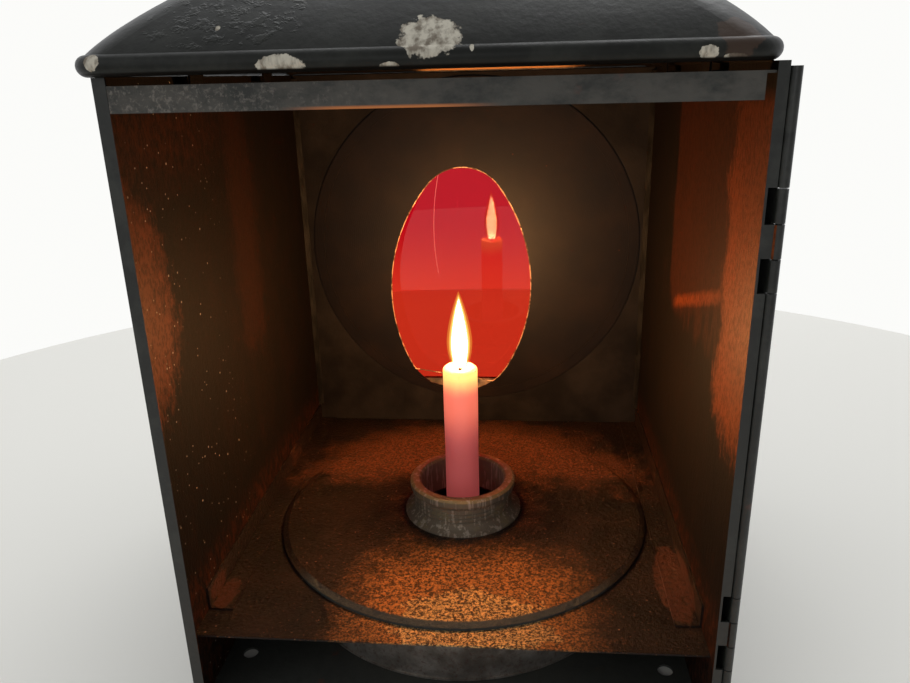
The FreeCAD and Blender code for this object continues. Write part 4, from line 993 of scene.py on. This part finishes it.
def make_candle():
    """The candle, with a softened, slightly uneven shoulder and a melted cup."""
    low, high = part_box("candle")
    middle = (low + high) / 2
    radius = (high.x - low.x) / 2
    cup = 1.6 * MM
    shoulder = 1.3 * MM
    stem = high.z - low.z - 2 * MM
    profile = [(0.0, low.z), (radius * 0.98, low.z)]
    for step in range(1, 30):
        share = step / 30
        wave = 0.995 - 0.006 * math.sin(13 * share)
        profile.append((radius * wave, low.z + share * stem))
    for step in range(9):
        turn = math.pi / 2 * step / 8
        across = radius - shoulder * (1 - math.cos(turn))
        profile.append((across, high.z - 1.5 * MM + shoulder * math.sin(turn)))
    profile += [
        (radius - 2.0 * MM, high.z - 0.45 * MM),
        (radius - 3.0 * MM, high.z - 1.15 * MM),
        (radius - 4.4 * MM, high.z - cup),
        (0.0, high.z - cup),
    ]
    piece = lathe("melting_candle", profile, middle.x, middle.y, 96)
    for vertex in piece.data.vertices:
        near_top = max(0.0, 1.0 - (high.z - vertex.co.z) / (6 * MM))
        angle = math.atan2(vertex.co.y - middle.y, vertex.co.x - middle.x)
        sag = 1.0 + 0.35 * math.sin(2 * angle + 0.6) + 0.2 * math.sin(5 * angle)
        vertex.co.z -= 0.3 * MM * near_top * sag
    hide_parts("candle")
    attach(piece, "candle")
    dress(wax_material(), "melting_candle")


def bead_along(name, points, radius, closed):
    """A thin, slightly uneven bead along a line of points, on the lamp body."""
    data = bpy.data.curves.new(name, "CURVE")
    data.dimensions = "3D"
    data.bevel_depth = radius
    data.bevel_resolution = 2
    line = data.splines.new("POLY")
    line.points.add(len(points) - 1)
    for index, (point, place) in enumerate(zip(line.points, points)):
        point.co = (*place, 1.0)
        point.radius = 1.0 + 0.25 * math.sin(2.3 * index) * math.sin(0.7 * index)
    line.use_cyclic_u = closed
    data.use_fill_caps = not closed
    guide = bpy.data.objects.new(f"{name}_guide", data)
    bpy.context.scene.collection.objects.link(guide)
    mesh = bpy.data.meshes.new_from_object(guide)
    bpy.data.objects.remove(guide)
    bpy.data.curves.remove(data)
    piece = bpy.data.objects.new(name, mesh)
    bpy.context.scene.collection.objects.link(piece)
    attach(piece, "lamp_body")
    return piece


def make_opening_burr():
    """The bright burr that the tin snips left round the egg-shaped opening."""
    disc = NODES["window_disc"]
    low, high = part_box("window_disc")
    middle = (low + high) / 2
    edge = []
    for polygon in disc.data.polygons:
        away = math.hypot(polygon.center.x - middle.x, polygon.center.z - middle.z)
        if abs(polygon.normal.y) < 0.5 and away < OPENING_REACH:
            edge += [disc.data.vertices[index].co for index in polygon.vertices]
    face_y = min(place.y for place in edge)
    at_face = [place for place in edge if place.y < face_y + 0.1 * MM]
    rim = {(round(place.x, 6), round(place.z, 6)) for place in at_face}
    centre_x = sum(x for x, z in rim) / len(rim)
    centre_z = sum(z for x, z in rim) / len(rim)
    ring = sorted(rim, key=lambda place: math.atan2(place[1] - centre_z, place[0] - centre_x))
    piece = bead_along("opening_burr", [(x, face_y, z) for x, z in ring], 0.26 * MM, True)
    dress(burr_material(), "opening_burr")


def make_soot_and_shade_bead():
    """Caked soot along the tops of three walls, under the roof's edge, also painted shade that
    darkens the vent gap.
    """
    low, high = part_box("window_wall")
    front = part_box("left_wall")[0].y + 1.5 * MM
    left, right, far = low.x - 0.1 * MM, high.x + 0.1 * MM, low.y + 0.1 * MM
    corners = ((left, front), (left, far), (right, far), (right, front))
    steps = 50
    places = []
    for start, end in zip(corners, corners[1:]):
        for step in range(steps):
            share = step / steps
            across = start[0] + share * (end[0] - start[0])
            along = start[1] + share * (end[1] - start[1])
            places.append((across, along, high.z))
    # A dark bead as painted shade in the vent gap, dressed as soot.
    piece = bead_along("vent_soot_and_shade", places, 0.22 * MM, False)
    dress(soot_material(), "vent_soot_and_shade")


# ---------------------------------------------------------------- camera, lights, floor

def make_camera():
    """The photo's viewing angle. The roll is shared between the racked walls and header."""
    data = bpy.data.cameras.new("camera")
    data.lens = CAMERA_LENS
    data.sensor_width = 36.0
    data.clip_start = 0.01
    camera = bpy.data.objects.new("camera", data)
    camera.location = CAMERA_PLACE
    tilt = math.radians(90 - CAMERA_DOWN)
    aim = Euler((tilt, 0.0, math.radians(CAMERA_LEFT)), "XYZ").to_quaternion()
    roll = Euler((0.0, 0.0, math.radians(-CAMERA_ROLL))).to_quaternion()
    camera.rotation_mode = "QUATERNION"
    camera.rotation_quaternion = aim @ roll
    bpy.context.scene.collection.objects.link(camera)
    bpy.context.scene.camera = camera


def make_area(name, place, target, size, power):
    light = bpy.data.lights.new(name, "AREA")
    light.shape = "DISK"
    light.size = size
    light.energy = power
    lamp = bpy.data.objects.new(name, light)
    lamp.location = place
    lamp.rotation_mode = "QUATERNION"
    lamp.rotation_quaternion = (Vector(target) - Vector(place)).to_track_quat("-Z", "Y")
    lamp.visible_camera = False
    bpy.context.scene.collection.objects.link(lamp)


def make_world():
    """A pale studio, brightest behind and above the lantern, and even where it is seen."""
    world = bpy.data.worlds.new("studio")
    world.use_nodes = True
    bpy.context.scene.world = world
    tree = world.node_tree
    tree.nodes.clear()
    output = tree.nodes.new("ShaderNodeOutputWorld")
    coords = tree.nodes.new("ShaderNodeTexCoord")
    split = tree.nodes.new("ShaderNodeSeparateXYZ")
    fall = tree.nodes.new("ShaderNodeMapRange")
    fall.interpolation_type = "SMOOTHSTEP"
    rays = tree.nodes.new("ShaderNodeLightPath")
    seen = tree.nodes.new("ShaderNodeBackground")
    lighting = tree.nodes.new("ShaderNodeBackground")
    choose = tree.nodes.new("ShaderNodeMixShader")
    seen.inputs["Color"].default_value = STUDIO_SEEN
    lighting.inputs["Color"].default_value = STUDIO_LIGHT
    for name, number in STUDIO_FALL.items():
        fall.inputs[name].default_value = number
    tree.links.new(coords.outputs["Generated"], split.inputs[0])
    tree.links.new(split.outputs["Y"], fall.inputs["Value"])
    tree.links.new(fall.outputs[0], lighting.inputs["Strength"])
    tree.links.new(rays.outputs["Is Camera Ray"], choose.inputs[0])
    tree.links.new(lighting.outputs[0], choose.inputs[1])
    tree.links.new(seen.outputs[0], choose.inputs[2])
    tree.links.new(choose.outputs[0], output.inputs[0])


def make_floor():
    bpy.ops.mesh.primitive_circle_add(
        vertices=96, radius=FLOOR_RADIUS, fill_type="NGON", location=(0, 0, -FLOOR_GAP)
    )
    floor = bpy.context.object
    floor.name = "studio_floor"
    dress(Shader("pale_floor").set(Base_Color=PALE_FLOOR, Roughness=0.75), "studio_floor")


# ---------------------------------------------------------------- put together

make_camera()
make_world()
make_floor()
for studio_lamp in STUDIO_LAMPS:
    make_area(*studio_lamp)

dress(roof_material(), "roof_shell")
dress(header_material(), "header_strip")
dress(exterior_japan("body_japan", 0.7), "door_panel")
# The base plate's japan is made much lighter and greyer: dust, and painted light that lifts it out
# of the shade under the lamp floor.
dress(exterior_japan("dusty_lightened_japan", 0.9, 0.5, 1.8), "base_plate")
dress(
    exterior_japan("top_japan", 0.6),
    "chimney_tube", "chimney_collar", "chimney_cap", "cap_skirt_ring",
    "cap_legs", "handle_ears", "latch_hook",
)
dress(wall_material("left_wall", -1), "left_wall")
dress(wall_material("right_wall", 1), "right_wall")
dress(far_wall_material(), "window_wall")
dress(disc_material(), "window_disc")
dress(crusted_floor("floor_crust"), "floor_plate", "floor_angle_left", "floor_angle_right")
dress(crusted_floor("font_crust", FONT_EDGE_RADIUS), "font_top")
dress(old_tin("font_tin"), "font_drum", "font_bottom")
dress(
    old_tin("rail_tin", 0.3, 0.32),
    "glass_rail_left", "glass_rail_right", "glass_rail_top", "glass_pull", "chimney_baffle",
)
# Painted light: the bottom rail's tin is coloured warm and pale, as if candlelit.
dress(old_tin("lit_tin", 0.1, 0.45, TIN_PAINTED_CANDLELIGHT, 0.2), "glass_rail_bottom")
dress(solder_material(), "corner_solder")
dress(
    wire_material(),
    "roof_rim_wire", "ear_rivets", "hinge_pins", "latch_pivot", "latch_stud", "handle_wire",
)
dress(collar_material(), "burner_collar")
dress(ruby_material(), "ruby_glass")
dress(wood_material(), "handle_grip")
dress(wax_foot_material(), "wax_foot")
# The brackets are soot-black: soot, and painted shade that sinks them into the dark vent gap.
dress(soot_material(), "roof_brackets")

make_opening_burr()
make_soot_and_shade_bead()
make_candle()
make_wick()
make_flame()

bpy.context.scene.view_settings.view_transform = "Standard"
